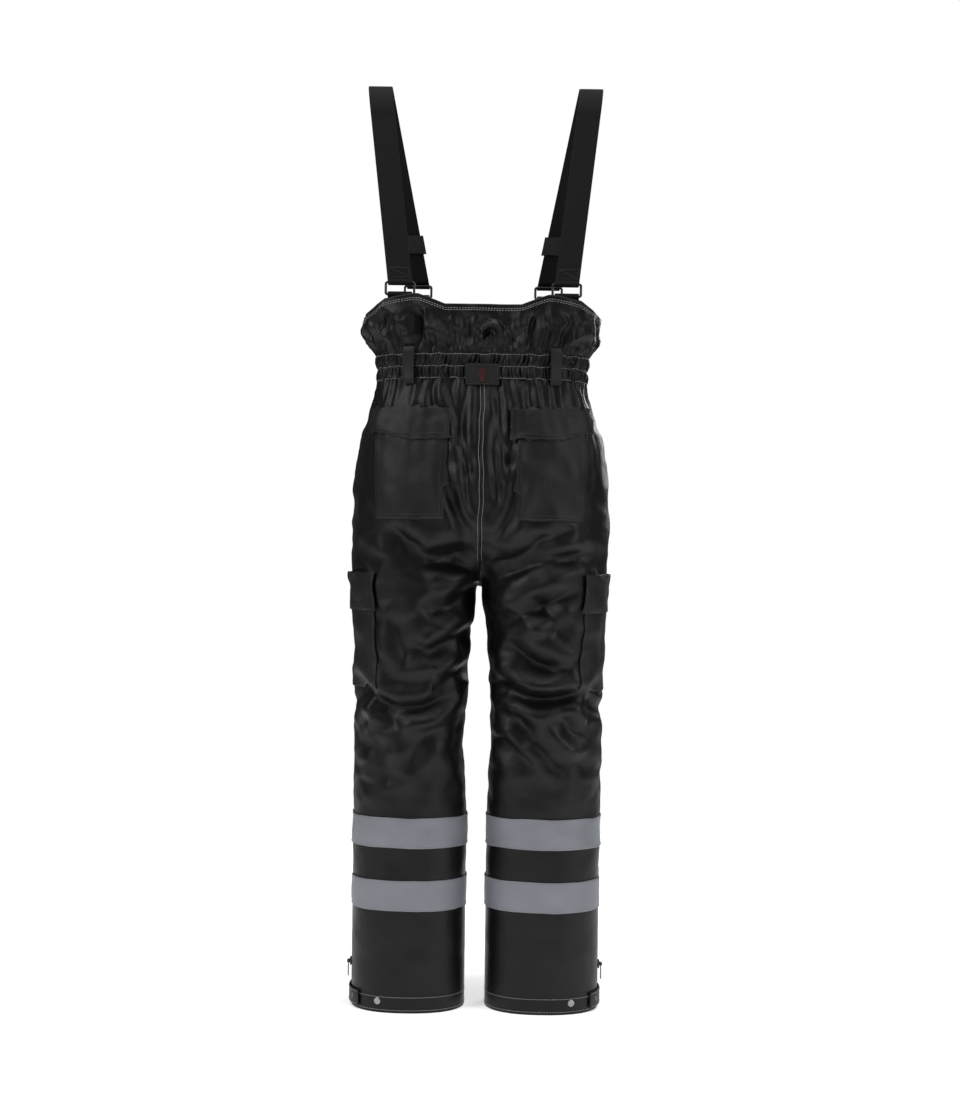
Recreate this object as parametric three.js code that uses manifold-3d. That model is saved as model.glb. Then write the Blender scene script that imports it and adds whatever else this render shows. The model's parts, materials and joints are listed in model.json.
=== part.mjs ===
// Insulated bib trousers with suspenders, standing on their hems.
// Millimetres, +Z up. The wearer faces -Y, so the wearer's left is +X.
// The origin is on the floor, midway between the legs.
//
// The cloth is made from one family of shapes: body(d) is the whole trouser form with every
// section d mm bigger all round. A layer between two of them, cut to an outline, is a piece of
// cloth that lies on the form, so panels, lining, pockets, flaps and tapes all follow it.

import * as THREE from 'three';
import { mergeVertices } from 'three/addons/utils/BufferGeometryUtils.js';
import Module from 'manifold-3d';

const wasm = await Module();
wasm.setup();

// ---------------------------------------------------------------- driving dimensions

const GAP = 0.3;               // between neighbouring pieces that touch
const SEAM = GAP / 2;          // half of that, on each side of a seam plane
const REST = 0.4;              // between a piece laid on curved cloth and that cloth

// Heights
const INSEAM = 712;            // hem to crotch
const RISE = 328;              // crotch to the bottom of the waistband
const WAISTBAND = 42;
const BACK_BIB = 79;           // waistband to the bib's top edge, centre back
const FRONT_BIB = 105;         // the same, centre front
const STRAP_RISE = 458;        // waistband's top edge up to the crest of the suspenders

// Half-widths, seen from behind
const LEG_CENTRE = 112.5;      // centre line of each leg, from the middle
const HEM_HALF = 94.5;
const KNEE_HALF = 91.5;
const THIGH_HALF = 99;
const HIP_HALF = 216;
const SEAT_HALF = 205;
const WAIST_HALF = 171;
const BIB_HALF = 198;

// Half-depths
const HEM_DEPTH = 80;
const KNEE_DEPTH = 88;
const THIGH_DEPTH = 106;
const SEAT_DEPTH = 138;
const WAIST_DEPTH = 112;
const FRONT_DEPTH = 125;       // the fly is straight, so one depth serves the whole front

// Cloth thicknesses
const SHELL = 2.5;
const LINING = 3.5;
const PATCH_CLOTH = 1.4;       // pockets and flaps
const TAPE_CLOTH = 0.8;
const POCKET_ROOM = 3.4;       // hollow of an empty patch pocket

// Details
const REFLECTOR_HEIGHT = 50;
const REFLECTOR_LOW = 168;     // bottom edge of the lower band
const REFLECTOR_HIGH = 271;    // bottom edge of the upper band
const LEG_ZIP_BOTTOM = 40;
const LEG_ZIP_TOP = 233;
const ZIP_HALF = 5;            // half the slot that a zip fills
const FLY_DEPTH = 78;          // crotch up to the bottom of the fly zip
const WEBBING = 40;            // suspender width
const WEBBING_THICK = 1.8;
const RING_BAR = 4.2;
const RING_INSIDE = WEBBING + 2;
const RING_PITCH = 19.8;       // between the centres of a ring's two long bars
const EYE_RADIUS = 3.4;        // hole in webbing folded round a bar
const BACK_RING_X = 136;
const FRONT_RING_X = 114;
const STRAP_TOP_X = 177;       // middle of the webbing at its crest
const SNAP_RADIUS = 6;

const WAIST_Z = INSEAM + RISE;
const BAND_TOP = WAIST_Z + WAISTBAND;
const BACK_TOP = BAND_TOP + BACK_BIB;
const FRONT_TOP = BAND_TOP + FRONT_BIB;
const STRAP_TOP = BAND_TOP + STRAP_RISE;
const POCKET_OUT = REST + POCKET_ROOM + PATCH_CLOTH;     // outside face of a patch pocket
const FLAP_IN = POCKET_OUT + REST;
const FLAP_OUT = FLAP_IN + PATCH_CLOTH;

const FAR = 900;               // well outside the object

// ---------------------------------------------------------------- solids

/** A closed three.js geometry as a solid that can be joined and cut. */
function solid(geometry) {
  geometry.deleteAttribute('normal');
  geometry.deleteAttribute('uv');
  const merged = mergeVertices(geometry, 1e-4);
  return new wasm.Manifold(new wasm.Mesh({
    numProp: 3,
    vertProperties: merged.attributes.position.array,
    triVerts: Uint32Array.from(merged.index.array),
  }));
}

/** A solid back as a three.js geometry. */
function geometryOf(part) {
  const mesh = part.getMesh();
  const geometry = new THREE.BufferGeometry();
  geometry.setAttribute('position', new THREE.BufferAttribute(mesh.vertProperties, 3));
  geometry.setIndex(new THREE.BufferAttribute(mesh.triVerts, 1));
  geometry.computeVertexNormals();
  return geometry;
}

/** A box from its low corner to its high corner. */
function block(low, high) {
  const size = high.map((value, axis) => value - low[axis]);
  const geometry = new THREE.BoxGeometry(...size);
  geometry.translate(...low.map((value, axis) => value + size[axis] / 2));
  return solid(geometry);
}

/** Everything between two heights. */
function slab(bottom, top) {
  return block([-FAR, -FAR, bottom], [FAR, FAR, top]);
}

const AXES = {
  x: new THREE.Matrix4().set(0, 0, 1, 0, 1, 0, 0, 0, 0, 1, 0, 0, 0, 0, 0, 1),
  y: new THREE.Matrix4().set(1, 0, 0, 0, 0, 0, -1, 0, 0, 1, 0, 0, 0, 0, 0, 1),
  z: new THREE.Matrix4(),
};

/** An outline drawn across an axis, [across, up], and carried along it from one value to another. */
function prism(axis, outline, from, to, holes = [], steps = 1) {
  const shape = new THREE.Shape(outline.map(([u, v]) => new THREE.Vector2(u, v)));
  shape.holes = holes.map((hole) => new THREE.Path(hole.map(([u, v]) => new THREE.Vector2(u, v))));
  const geometry = new THREE.ExtrudeGeometry(shape, { depth: to - from, steps, bevelEnabled: false });
  geometry.translate(0, 0, axis === 'y' ? -to : from);
  geometry.applyMatrix4(AXES[axis]);
  return geometry;
}

/** The points of a regular outline with its flats outside a circle of that radius. */
function roundOutline(centre, radius, sides) {
  return Array.from({ length: sides }, (_, side) => {
    const turn = (2 * Math.PI * side) / sides;
    return [centre[0] + radius * Math.cos(turn), centre[1] + radius * Math.sin(turn)];
  });
}

// ---------------------------------------------------------------- the trouser form

const LEG_SIDES = 20;          // flats round a leg; a multiple of four
const TORSO_SIDES = 32;

const legStations = [
  { z: -20, centre: LEG_CENTRE, half: HEM_HALF, depth: HEM_DEPTH },
  { z: INSEAM * 0.45, centre: LEG_CENTRE, half: HEM_HALF, depth: HEM_DEPTH },
  { z: INSEAM * 0.63, centre: LEG_CENTRE + 3, half: KNEE_HALF, depth: KNEE_DEPTH },
  { z: INSEAM * 0.82, centre: LEG_CENTRE - 1, half: (KNEE_HALF + THIGH_HALF) / 2 - 2, depth: THIGH_DEPTH - 9 },
  { z: INSEAM * 0.95, centre: LEG_CENTRE - 5, half: THIGH_HALF, depth: THIGH_DEPTH },
  { z: INSEAM, centre: HIP_HALF / 2 - 3, half: HIP_HALF / 2 - 4, depth: THIGH_DEPTH + 4 },
  { z: INSEAM + 60, centre: HIP_HALF / 2 - 3, half: HIP_HALF / 2 - 14, depth: THIGH_DEPTH - 6 },
];

// pinch draws the middle of a section in towards the crotch; square above 2 flattens the back
const torsoStations = [
  { z: INSEAM, half: HIP_HALF - 5, back: THIGH_DEPTH + 6, front: THIGH_DEPTH + 2, pinch: 0.72, square: 2.4 },
  { z: INSEAM + RISE * 0.13, half: HIP_HALF, back: SEAT_DEPTH - 13, front: FRONT_DEPTH - 6, pinch: 0.35, square: 2.4 },
  { z: INSEAM + RISE * 0.235, half: HIP_HALF - 1, back: SEAT_DEPTH - 4, front: FRONT_DEPTH, pinch: 0.1, square: 2.5 },
  { z: INSEAM + RISE * 0.5, half: HIP_HALF - 3, back: SEAT_DEPTH, front: FRONT_DEPTH, pinch: 0, square: 2.6 },
  { z: INSEAM + RISE * 0.7, half: SEAT_HALF, back: SEAT_DEPTH - 6, front: FRONT_DEPTH, pinch: 0, square: 2.7 },
  { z: INSEAM + RISE * 0.866, half: SEAT_HALF - 18, back: WAIST_DEPTH + 9, front: FRONT_DEPTH, pinch: 0, square: 2.9 },
  { z: WAIST_Z, half: WAIST_HALF + 1, back: WAIST_DEPTH + 1, front: FRONT_DEPTH, pinch: 0, square: 3 },
  { z: BAND_TOP, half: WAIST_HALF + 4, back: WAIST_DEPTH + 2, front: FRONT_DEPTH, pinch: 0, square: 3.2 },
  { z: BAND_TOP + 24, half: BIB_HALF - 9, back: WAIST_DEPTH + 6, front: FRONT_DEPTH, pinch: 0, square: 3.6 },
  { z: BAND_TOP + 52, half: BIB_HALF - 1, back: WAIST_DEPTH + 8, front: FRONT_DEPTH, pinch: 0, square: 4 },
  { z: FRONT_TOP + 60, half: BIB_HALF + 2, back: WAIST_DEPTH + 10, front: FRONT_DEPTH, pinch: 0, square: 4 },
];

const LEG_SQUARE = 2.3;

/** A point of a flattened ellipse, from a point of the unit circle. */
function squashed(circle, radius, square) {
  return Math.sign(circle) * Math.abs(circle) ** (2 / square) * radius;
}

/** The plan position on a torso section, grown by d, for a point of the unit circle. */
function torsoPoint(station, grow, [u, v]) {
  const x = squashed(u, station.half + grow, station.square);
  const depth = (v > 0 ? station.back : station.front) + grow;
  const inward = 1 - Math.abs(x) / (station.half + grow);
  return [x, squashed(v, depth, station.square) * (1 - station.pinch * inward ** 2)];
}

/** The same on a section of the leg on one side. */
function legPoint(station, grow, [u, v], side) {
  const x = side * station.centre + squashed(u, station.half + grow, LEG_SQUARE);
  return [x, squashed(v, station.depth + grow, LEG_SQUARE)];
}

/** A closed skin through one section per station. */
function loft(stations, sides, point) {
  const levels = stations.length - 1;
  const geometry = new THREE.CylinderGeometry(1, 1, levels, sides, levels);
  geometry.rotateX(Math.PI / 2);
  const position = geometry.attributes.position;
  for (let i = 0; i < position.count; i += 1) {
    const station = stations[Math.round(position.getZ(i) + levels / 2)];
    const [x, y] = point(station, [position.getX(i), position.getY(i)]);
    position.setXYZ(i, x, y, station.z);
  }
  return solid(geometry);
}

const bodies = new Map();

/** The whole trouser form, every section grown by d. */
function body(d) {
  if (!bodies.has(d)) {
    const crotch = torsoStations.map((s, level) => (level === 0 ? { ...s, z: s.z - d } : s));
    let form = loft(crotch, TORSO_SIDES, (s, circle) => torsoPoint(s, d, circle));
    for (const side of [-1, 1]) {
      form = form.add(loft(legStations, LEG_SIDES, (s, circle) => legPoint(s, d, circle, side)));
    }
    bodies.set(d, form);
  }
  return bodies.get(d);
}

/** The layer of cloth between two offsets of the form. */
function layer(from, to) {
  return body(to).subtract(body(from));
}

/** How far back the torso form reaches at a given x and height; facing is 1 for the back, -1 the front. */
function wallDepth(x, z, d, facing) {
  const above = torsoStations.findIndex((s) => s.z >= z);
  const [low, high] = [torsoStations[above - 1], torsoStations[above]];
  const blend = (z - low.z) / (high.z - low.z);
  const points = Array.from({ length: TORSO_SIDES / 2 + 1 }, (_, i) => {
    const turn = (Math.PI * 2 * i) / TORSO_SIDES;
    const circle = [Math.cos(turn), facing * Math.sin(turn)];
    const [a, b] = [torsoPoint(low, d, circle), torsoPoint(high, d, circle)];
    return [a[0] + (b[0] - a[0]) * blend, a[1] + (b[1] - a[1]) * blend];
  });
  const next = points.findIndex((p) => p[0] <= x);
  const [p, q] = [points[next - 1], points[next]];
  return p[1] + ((q[1] - p[1]) * (x - p[0])) / (q[0] - p[0]);
}

/** The middle of one flat of a leg, on its straight lower part: the point, and which way it faces. */
function legFlat(index, side) {
  const ends = [index, index + 1].map((corner) => {
    const turn = (2 * Math.PI * corner) / LEG_SIDES;
    return legPoint(legStations[0], 0, [side * Math.cos(turn), Math.sin(turn)], side);
  });
  const [[ax, ay], [bx, by]] = ends;
  const facing = Math.atan2(side * (bx - ax) * -1, side * (by - ay));
  return { x: (ax + bx) / 2, y: (ay + by) / 2, facing };
}

// ---------------------------------------------------------------- materials

function material(colour, roughness, metalness = 0) {
  return () => new THREE.MeshStandardMaterial({ color: colour, roughness, metalness });
}

const shellCloth = material(0x1b1b1d, 0.55);
const liningCloth = material(0x2c2d31, 0.9);
const pocketCloth = material(0x222226, 0.6);
const webbing = material(0x151517, 0.75);
const elastic = material(0x232326, 0.85);
const reflective = material(0x8f9298, 0.35);
const hardware = material(0x3b3b3d, 0.4, 0.6);
const snapMetal = material(0x96989a, 0.3, 1);
const zipTape = material(0x17171a, 0.8);
const patchCloth = material(0x202024, 0.7);

// ---------------------------------------------------------------- the assembly

const trousers = new THREE.Group();
trousers.name = 'bib_trousers';

/** Adds one named piece, optionally inside a placed group. */
function add(name, shape, finish, parent = trousers) {
  const geometry = shape.isBufferGeometry ? shape : geometryOf(shape);
  const mesh = new THREE.Mesh(geometry, finish());
  mesh.name = name;
  parent.add(mesh);
  return mesh;
}

const SIDES = [{ side: 1, hand: 'left' }, { side: -1, hand: 'right' }];

/** The half of space on one side of the middle. */
function halfSpace(side, margin = SEAM) {
  return block([side > 0 ? margin : -FAR, -FAR, -FAR], [side > 0 ? FAR : -margin, FAR, 2 * FAR]);
}

/** The half of space behind (1) or in front (-1) of the side seams. */
function depthSpace(facing, margin = SEAM) {
  return block([-FAR, facing > 0 ? margin : -FAR, -FAR], [FAR, facing > 0 ? FAR : -margin, 2 * FAR]);
}

/** Mirrors an outline drawn for the left side when the piece is for the right. */
function mirrored(outline, side) {
  return outline.map(([x, z]) => [side * x, z]);
}

// Slots that the zips fill
const flyBottom = INSEAM + FLY_DEPTH;
const flySlot = block([-ZIP_HALF, -FAR, flyBottom], [ZIP_HALF, 0, 2 * FAR]);

function legZipSlot(side, half, bottom, top) {
  const reach = [side * LEG_CENTRE, side * FAR].sort((a, b) => a - b);
  return block([reach[0], -half, bottom], [reach[1], half, top]);
}

// Outer panels: front and back of each side, sewn at the side seam, the inseam and the middle
const outerCloth = layer(-SHELL, 0).intersect(slab(0, WAIST_Z - SEAM)).subtract(flySlot);
for (const { side, hand } of SIDES) {
  const half = outerCloth.intersect(halfSpace(side))
    .subtract(legZipSlot(side, ZIP_HALF, LEG_ZIP_BOTTOM, LEG_ZIP_TOP));
  add(`front_panel_${hand}`, half.intersect(depthSpace(-1)), shellCloth);
  add(`back_panel_${hand}`, half.intersect(depthSpace(1)), shellCloth);
}

// Quilted lining, one tube and half seat on each side, short of the hem and of the fly
const LINING_HEM = 18;
const liningFrom = -SHELL - REST - LINING;
const flyClear = block([-ZIP_HALF - 9, -FAR, flyBottom - 10], [ZIP_HALF + 9, 0, 2 * FAR]);
const innerCloth = layer(liningFrom, -SHELL - REST).intersect(slab(LINING_HEM, WAIST_Z - 4)).subtract(flyClear);
for (const { side, hand } of SIDES) {
  add(`lining_${hand}`, innerCloth.intersect(halfSpace(side)), liningCloth);
}

// Waistband with two elastics in channels that open inwards
const BAND_THICK = 4.5;
const CHANNEL = { height: 14, wall: 1.5, clear: REST, end: 25 };
const channelBottoms = [WAIST_Z + 4, WAIST_Z + WAISTBAND / 2 + 2];
const channelStop = block([-CHANNEL.end, -FAR, -FAR], [CHANNEL.end, 0, 2 * FAR]);
const elasticStop = block([-CHANNEL.end - 5, -FAR, -FAR], [CHANNEL.end + 5, 0, 2 * FAR]);

let waistband = layer(-BAND_THICK, 0).intersect(slab(WAIST_Z + SEAM, BAND_TOP - SEAM)).subtract(flySlot);
channelBottoms.forEach((bottom, index) => {
  const channel = layer(-BAND_THICK - 1, -CHANNEL.wall).intersect(slab(bottom, bottom + CHANNEL.height));
  waistband = waistband.subtract(channel.subtract(channelStop));
  const band = layer(-BAND_THICK, -CHANNEL.wall - CHANNEL.clear)
    .intersect(slab(bottom + CHANNEL.clear, bottom + CHANNEL.height - CHANNEL.clear));
  add(index === 0 ? 'waist_elastic_lower' : 'waist_elastic_upper', band.subtract(elasticStop), elastic);
});
add('waistband', waistband, shellCloth);

// Bib: a flared back panel with a rise under each suspender, and two front panels
const BIB_SIDE = BACK_BIB - 19;          // height of the bib at the side seam
const bibCloth = layer(-SHELL, 0);
const backRise = [[75, 0], [100, 12], [112, 13], [160, 6], [BIB_HALF - 6, BIB_SIDE - BACK_BIB + 3]];
const backTopEdge = [...backRise, [FAR, BIB_SIDE - BACK_BIB]].map(([x, rise]) => [x, BACK_TOP + rise]);
const backOutline = [
  ...backTopEdge,
  [FAR, BAND_TOP + SEAM],
  [-FAR, BAND_TOP + SEAM],
  ...backTopEdge.map(([x, z]) => [-x, z]).reverse(),
];
add('back_bib', bibCloth.intersect(solid(prism('y', backOutline, SEAM, FAR))), shellCloth);

const frontOutline = [
  [ZIP_HALF, BAND_TOP + SEAM], [ZIP_HALF, FRONT_TOP], [BIB_HALF * 0.7, FRONT_TOP],
  [BIB_HALF - 6, BAND_TOP + BIB_SIDE + 3], [FAR, BAND_TOP + BIB_SIDE], [FAR, BAND_TOP + SEAM],
];
for (const { side, hand } of SIDES) {
  const outline = solid(prism('y', mirrored(frontOutline, side), -FAR, -SEAM));
  add(`front_bib_${hand}`, bibCloth.intersect(outline), shellCloth);
}

// Belt loops: feet above and below the waistband, standing off it for a belt
const LOOP_HALF = 10;
const LOOP = { bottom: WAIST_Z - 8, top: BAND_TOP + 10, foot: 7 };
const loopCloth = layer(REST, POCKET_OUT).intersect(slab(LOOP.bottom, LOOP.top));
const loopRoom = layer(REST - 1, REST + POCKET_ROOM).intersect(slab(LOOP.bottom + LOOP.foot, LOOP.top - LOOP.foot));
const loopShape = loopCloth.subtract(loopRoom);
for (const { side, hand } of SIDES) {
  for (const { where, facing, x } of [{ where: 'back', facing: 1, x: 118 }, { where: 'front', facing: -1, x: 92 }]) {
    const reach = block([side * x - LOOP_HALF, -FAR, 0], [side * x + LOOP_HALF, FAR, 2 * FAR]);
    add(`belt_loop_${where}_${hand}`, loopShape.intersect(reach).intersect(depthSpace(facing, 30)), pocketCloth);
  }
}

// Plain patch over the waistband, centre back
const patchReach = block([-27, 0, WAIST_Z - 10], [27, FAR, WAIST_Z + 25]);
add('back_patch', layer(REST, REST + 1.4).intersect(patchReach), patchCloth);

// Patch pockets: an outer wall on a raised edge, open at the top, with a hinged flap over the mouth
const POCKET_EDGE = 3;
const FLAP_STRIP = 4;          // height of the flap's sewn top edge

/** A pocket from its outline, and the outline of its hollow that runs out through the mouth. */
function pocket(outline, hollow, axis, from, to) {
  const whole = layer(REST, POCKET_OUT).intersect(solid(prism(axis, outline, from, to)));
  const room = layer(REST - 1, REST + POCKET_ROOM).intersect(solid(prism(axis, hollow, from, to)));
  return whole.subtract(room);
}

/** A flap from its outline, sewn down to the cloth along a strip at its top. */
function flap(outline, strip, axis, from, to) {
  const cover = layer(FLAP_IN, FLAP_OUT).intersect(solid(prism(axis, outline, from, to)));
  const sewn = layer(REST, FLAP_OUT).intersect(solid(prism(axis, strip, from, to)));
  return cover.add(sewn);
}

/** A band that follows the top two corners of a flap outline, which come first in it. */
function topStrip([[ax, az], [bx, bz]], height) {
  return [[ax, az], [bx, bz], [bx, bz - height], [ax, az - height]];
}

// Back pockets
const SEAT_POCKET = { inner: 54, outer: 174, bottom: INSEAM + RISE * 0.3, mouth: WAIST_Z - 62 };
const SEAT_FLAP = { inner: 47, outer: 178, top: WAIST_Z - 46, tall: 53 };
for (const { side, hand } of SIDES) {
  const { inner, outer, bottom, mouth } = SEAT_POCKET;
  const face = [[inner, mouth], [outer, mouth], [outer - 3, bottom + 2], [inner + 4, bottom]];
  const room = [
    [inner + POCKET_EDGE, mouth + 9], [outer - POCKET_EDGE, mouth + 9],
    [outer - 3 - POCKET_EDGE, bottom + 2 + POCKET_EDGE], [inner + 4 + POCKET_EDGE, bottom + POCKET_EDGE],
  ];
  add(`back_pocket_${hand}`, pocket(mirrored(face, side), mirrored(room, side), 'y', 0, FAR), pocketCloth);

  const lid = SEAT_FLAP;
  const cover = [
    [lid.inner, lid.top - 3], [lid.outer, lid.top + 2], [lid.outer + 2, lid.top - lid.tall + 14],
    [lid.inner + 70, lid.top - lid.tall - 6], [lid.inner + 1, lid.top - lid.tall],
  ];
  const lidShape = flap(mirrored(cover, side), mirrored(topStrip(cover, FLAP_STRIP), side), 'y', 0, FAR);
  add(`back_pocket_flap_${hand}`, lidShape, pocketCloth);
}

// Cargo pockets on the outside of each thigh
const CARGO = { rear: 88, front: -80, bottom: INSEAM * 0.748, mouth: INSEAM - 8 };
const CARGO_FLAP = { rear: 92, front: -84, top: INSEAM + 13, tall: 64 };
for (const { side, hand } of SIDES) {
  const reach = [side * LEG_CENTRE, side * FAR].sort((a, b) => a - b);
  const { rear, front, bottom, mouth } = CARGO;
  const face = [[front, mouth], [front, bottom], [rear - 4, bottom], [rear, mouth]];
  const room = [
    [front + POCKET_EDGE, mouth + 9], [front + POCKET_EDGE, bottom + POCKET_EDGE],
    [rear - 4 - POCKET_EDGE, bottom + POCKET_EDGE], [rear - POCKET_EDGE, mouth + 9],
  ];
  add(`cargo_pocket_${hand}`, pocket(face, room, 'x', ...reach), pocketCloth);

  const lid = CARGO_FLAP;
  const cover = [
    [lid.rear, lid.top], [lid.front, lid.top], [lid.front, lid.top - lid.tall + 4],
    [0, lid.top - lid.tall - 3], [lid.rear, lid.top - lid.tall + 4],
  ];
  add(`cargo_flap_${hand}`, flap(cover, topStrip(cover, FLAP_STRIP), 'x', ...reach), pocketCloth);
}

// Welts of the slanted hand pockets
const WELT = { high: [104, WAIST_Z - 22], low: [160, WAIST_Z - 158], wide: 20 };
for (const { side, hand } of SIDES) {
  const { high, low, wide } = WELT;
  const outline = [high, [high[0] + wide, high[1] + 4], [low[0] + wide, low[1] + 4], low];
  const reach = solid(prism('y', mirrored(outline, side), -FAR, 0));
  add(`hand_pocket_welt_${hand}`, layer(REST, REST + 1.6).intersect(reach), pocketCloth);
}

// Reflective bands round each leg; the lower one stops at the leg zip
for (const { side, hand } of SIDES) {
  for (const { level, bottom } of [{ level: 'upper', bottom: REFLECTOR_HIGH }, { level: 'lower', bottom: REFLECTOR_LOW }]) {
    const band = layer(REST, REST + TAPE_CLOTH).intersect(slab(bottom, bottom + REFLECTOR_HEIGHT));
    const onLeg = band.intersect(halfSpace(side)).subtract(legZipSlot(side, ZIP_HALF + 4, 0, LEG_ZIP_TOP));
    add(`reflective_band_${level}_${hand}`, onLeg, reflective);
  }
}

// ---------------------------------------------------------------- zips

const ZIP_TAPE = { half: ZIP_HALF - REST, from: -SHELL + GAP, to: -GAP };
const SLIDER = { half: 4.6, tall: 13, thick: 2.4, earTop: 7.2, ear: 1.3, pin: 0.9 };
const PULL = { half: SLIDER.half - SLIDER.ear - REST, thick: 1.4, long: 25, hole: 1.4, hub: 2.4 };
const PIN_OUT = 5.2;           // pin centre, out from the slider's inner face

/** A slider: a flat body, with two ears that carry the pull's pin. Outwards is -Y. */
function slider() {
  const half = SLIDER.tall / 2;
  const flat = block([-SLIDER.half, -SLIDER.thick, -half], [SLIDER.half, 0, half]);
  const earOutline = [[0, -3.4], [-SLIDER.earTop, -1.8], [-SLIDER.earTop, 1.8], [0, 3.4]];
  let part = flat;
  for (const side of [-1, 1]) {
    const reach = [side * SLIDER.half, side * (SLIDER.half - SLIDER.ear)].sort((a, b) => a - b);
    part = part.add(solid(prism('x', earOutline, ...reach)));
  }
  const pin = prism('x', roundOutline([-PIN_OUT, 0], SLIDER.pin, 10), -SLIDER.half + 0.5, SLIDER.half - 0.5);
  return part.add(solid(pin));
}

/** A pull that hangs from the slider's pin, widening below the ears. */
function pull() {
  const { thick, long, hole, hub, half } = PULL;
  const stem = block([-half, -PIN_OUT - thick / 2, -long], [half, -PIN_OUT + thick / 2, -hole]);
  const eye = solid(prism('x', roundOutline([-PIN_OUT, 0], hub, 12), -half, half));
  const bore = solid(prism('x', roundOutline([-PIN_OUT, 0], hole, 12), -FAR, FAR));
  const grip = block([-4, -PIN_OUT - thick / 2, -long], [4, -PIN_OUT + thick / 2, -9]);
  return stem.add(eye).subtract(bore).add(grip);
}

/** A slider and its pull, in a group placed on the zip and turned to face out of it. */
function addSlider(name, x, y, z, turn) {
  const place = new THREE.Group();
  place.position.set(x, y, z);
  place.rotation.z = turn;
  trousers.add(place);
  add(`${name}_slider`, slider(), hardware, place);
  add(`${name}_pull`, pull(), hardware, place);
}

// Fly zip, from above the crotch to the top of the bib, and the guard behind it
const flyReach = block([-ZIP_TAPE.half, -FAR, flyBottom + GAP], [ZIP_TAPE.half, 0, FRONT_TOP - 4]);
add('fly_zip_tape', layer(ZIP_TAPE.from, ZIP_TAPE.to).intersect(flyReach), zipTape);
const guardReach = block([-ZIP_HALF - 8, -FAR, flyBottom - 8], [ZIP_HALF + 8, 0, FRONT_TOP - 10]);
const bandClear = block([-FAR, -FAR, WAIST_Z - 1], [FAR, 0, BAND_TOP + 1]);
const guardOut = -BAND_THICK - REST;
const guard = layer(guardOut - 1.5, guardOut).intersect(guardReach);
const guardFoot = layer(guardOut - 1, -SHELL - REST).intersect(guardReach).subtract(bandClear);
add('fly_guard', guard.add(guardFoot), shellCloth);
addSlider('fly_zip', 0, -FRONT_DEPTH - REST, FRONT_TOP - 16, 0);

// Leg zips
for (const { side, hand } of SIDES) {
  const reach = legZipSlot(side, ZIP_TAPE.half, LEG_ZIP_BOTTOM + GAP, LEG_ZIP_TOP - GAP);
  add(`leg_zip_tape_${hand}`, layer(ZIP_TAPE.from, ZIP_TAPE.to).intersect(reach), zipTape);
  const outside = side * (LEG_CENTRE + HEM_HALF + REST);
  addSlider(`leg_zip_${hand}`, outside, 0, LEG_ZIP_BOTTOM + 28, (side * Math.PI) / 2);
}

// ---------------------------------------------------------------- hem tabs and snaps

/** A domed snap cap, its axis along +Z and its foot at zero. */
function snap() {
  const profile = [[0, 0], [SNAP_RADIUS, 0], [SNAP_RADIUS, 0.8], [SNAP_RADIUS * 0.7, 1.9], [0, 2.2]];
  return new THREE.LatheGeometry(profile.map(([r, h]) => new THREE.Vector2(r, h)), 12).rotateX(Math.PI / 2);
}

/** A snap on a flat of the leg, standing off it by some thickness of cloth. */
function addSnap(name, flat, z, off, side) {
  const { x, y, facing } = legFlat(flat, side);
  const mesh = add(name, snap(), snapMetal);
  mesh.position.set(x + off * Math.cos(facing), y + off * Math.sin(facing), z);
  mesh.rotation.set(0, Math.PI / 2, facing, 'ZYX');
}

const HEM_TAB = { bottom: 6, top: 32, front: -36, rear: 54, thick: 2 };
const SNAP_Z = (HEM_TAB.bottom + HEM_TAB.top) / 2;
for (const { side, hand } of SIDES) {
  const { bottom, top, front, rear, thick } = HEM_TAB;
  const reach = [side * LEG_CENTRE, side * FAR].sort((a, b) => a - b);
  const outline = [[front, bottom], [rear - 5, bottom], [rear, bottom + 6], [rear, top - 6], [rear - 5, top], [front, top]];
  const strip = solid(prism('x', outline, ...reach));
  add(`hem_tab_${hand}`, layer(REST, REST + thick).intersect(strip), pocketCloth);
  addSnap(`hem_tab_snap_${hand}`, 1, SNAP_Z, 2 * REST + thick, side);
  addSnap(`hem_snap_${hand}`, 3, SNAP_Z, REST, side);
}

// ---------------------------------------------------------------- suspenders

const BACK_BAR_Z = BACK_TOP + 16.5;                 // lower bar of the back ring
const FRONT_BAR_Z = FRONT_TOP + 15;
const ringY = (x, z, facing) => wallDepth(x + RING_INSIDE / 2 + RING_BAR, z, -SHELL, facing) - facing * (RING_BAR / 2 + REST);
const BACK_Y = ringY(BACK_RING_X, BACK_BAR_Z, 1);
const FRONT_Y = ringY(FRONT_RING_X, FRONT_BAR_Z, -1);

/** A rectangular ring of square bar, its lower bar centred on the origin. */
function ring() {
  const wide = RING_INSIDE / 2;
  const [low, high] = [-RING_BAR / 2, RING_PITCH + RING_BAR / 2];
  const outer = [
    [-wide - RING_BAR + 2, low], [wide + RING_BAR - 2, low], [wide + RING_BAR, low + 2], [wide + RING_BAR, high - 2],
    [wide + RING_BAR - 2, high], [-wide - RING_BAR + 2, high], [-wide - RING_BAR, high - 2], [-wide - RING_BAR, low + 2],
  ];
  const inner = [
    [-wide, RING_BAR / 2], [-wide, RING_PITCH - RING_BAR / 2],
    [wide, RING_PITCH - RING_BAR / 2], [wide, RING_BAR / 2],
  ];
  return prism('y', outer, -RING_BAR / 2, RING_BAR / 2, [inner]);
}

const EYE_SIDES = 14;
const EYE_OUT = EYE_RADIUS + WEBBING_THICK;

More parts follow.
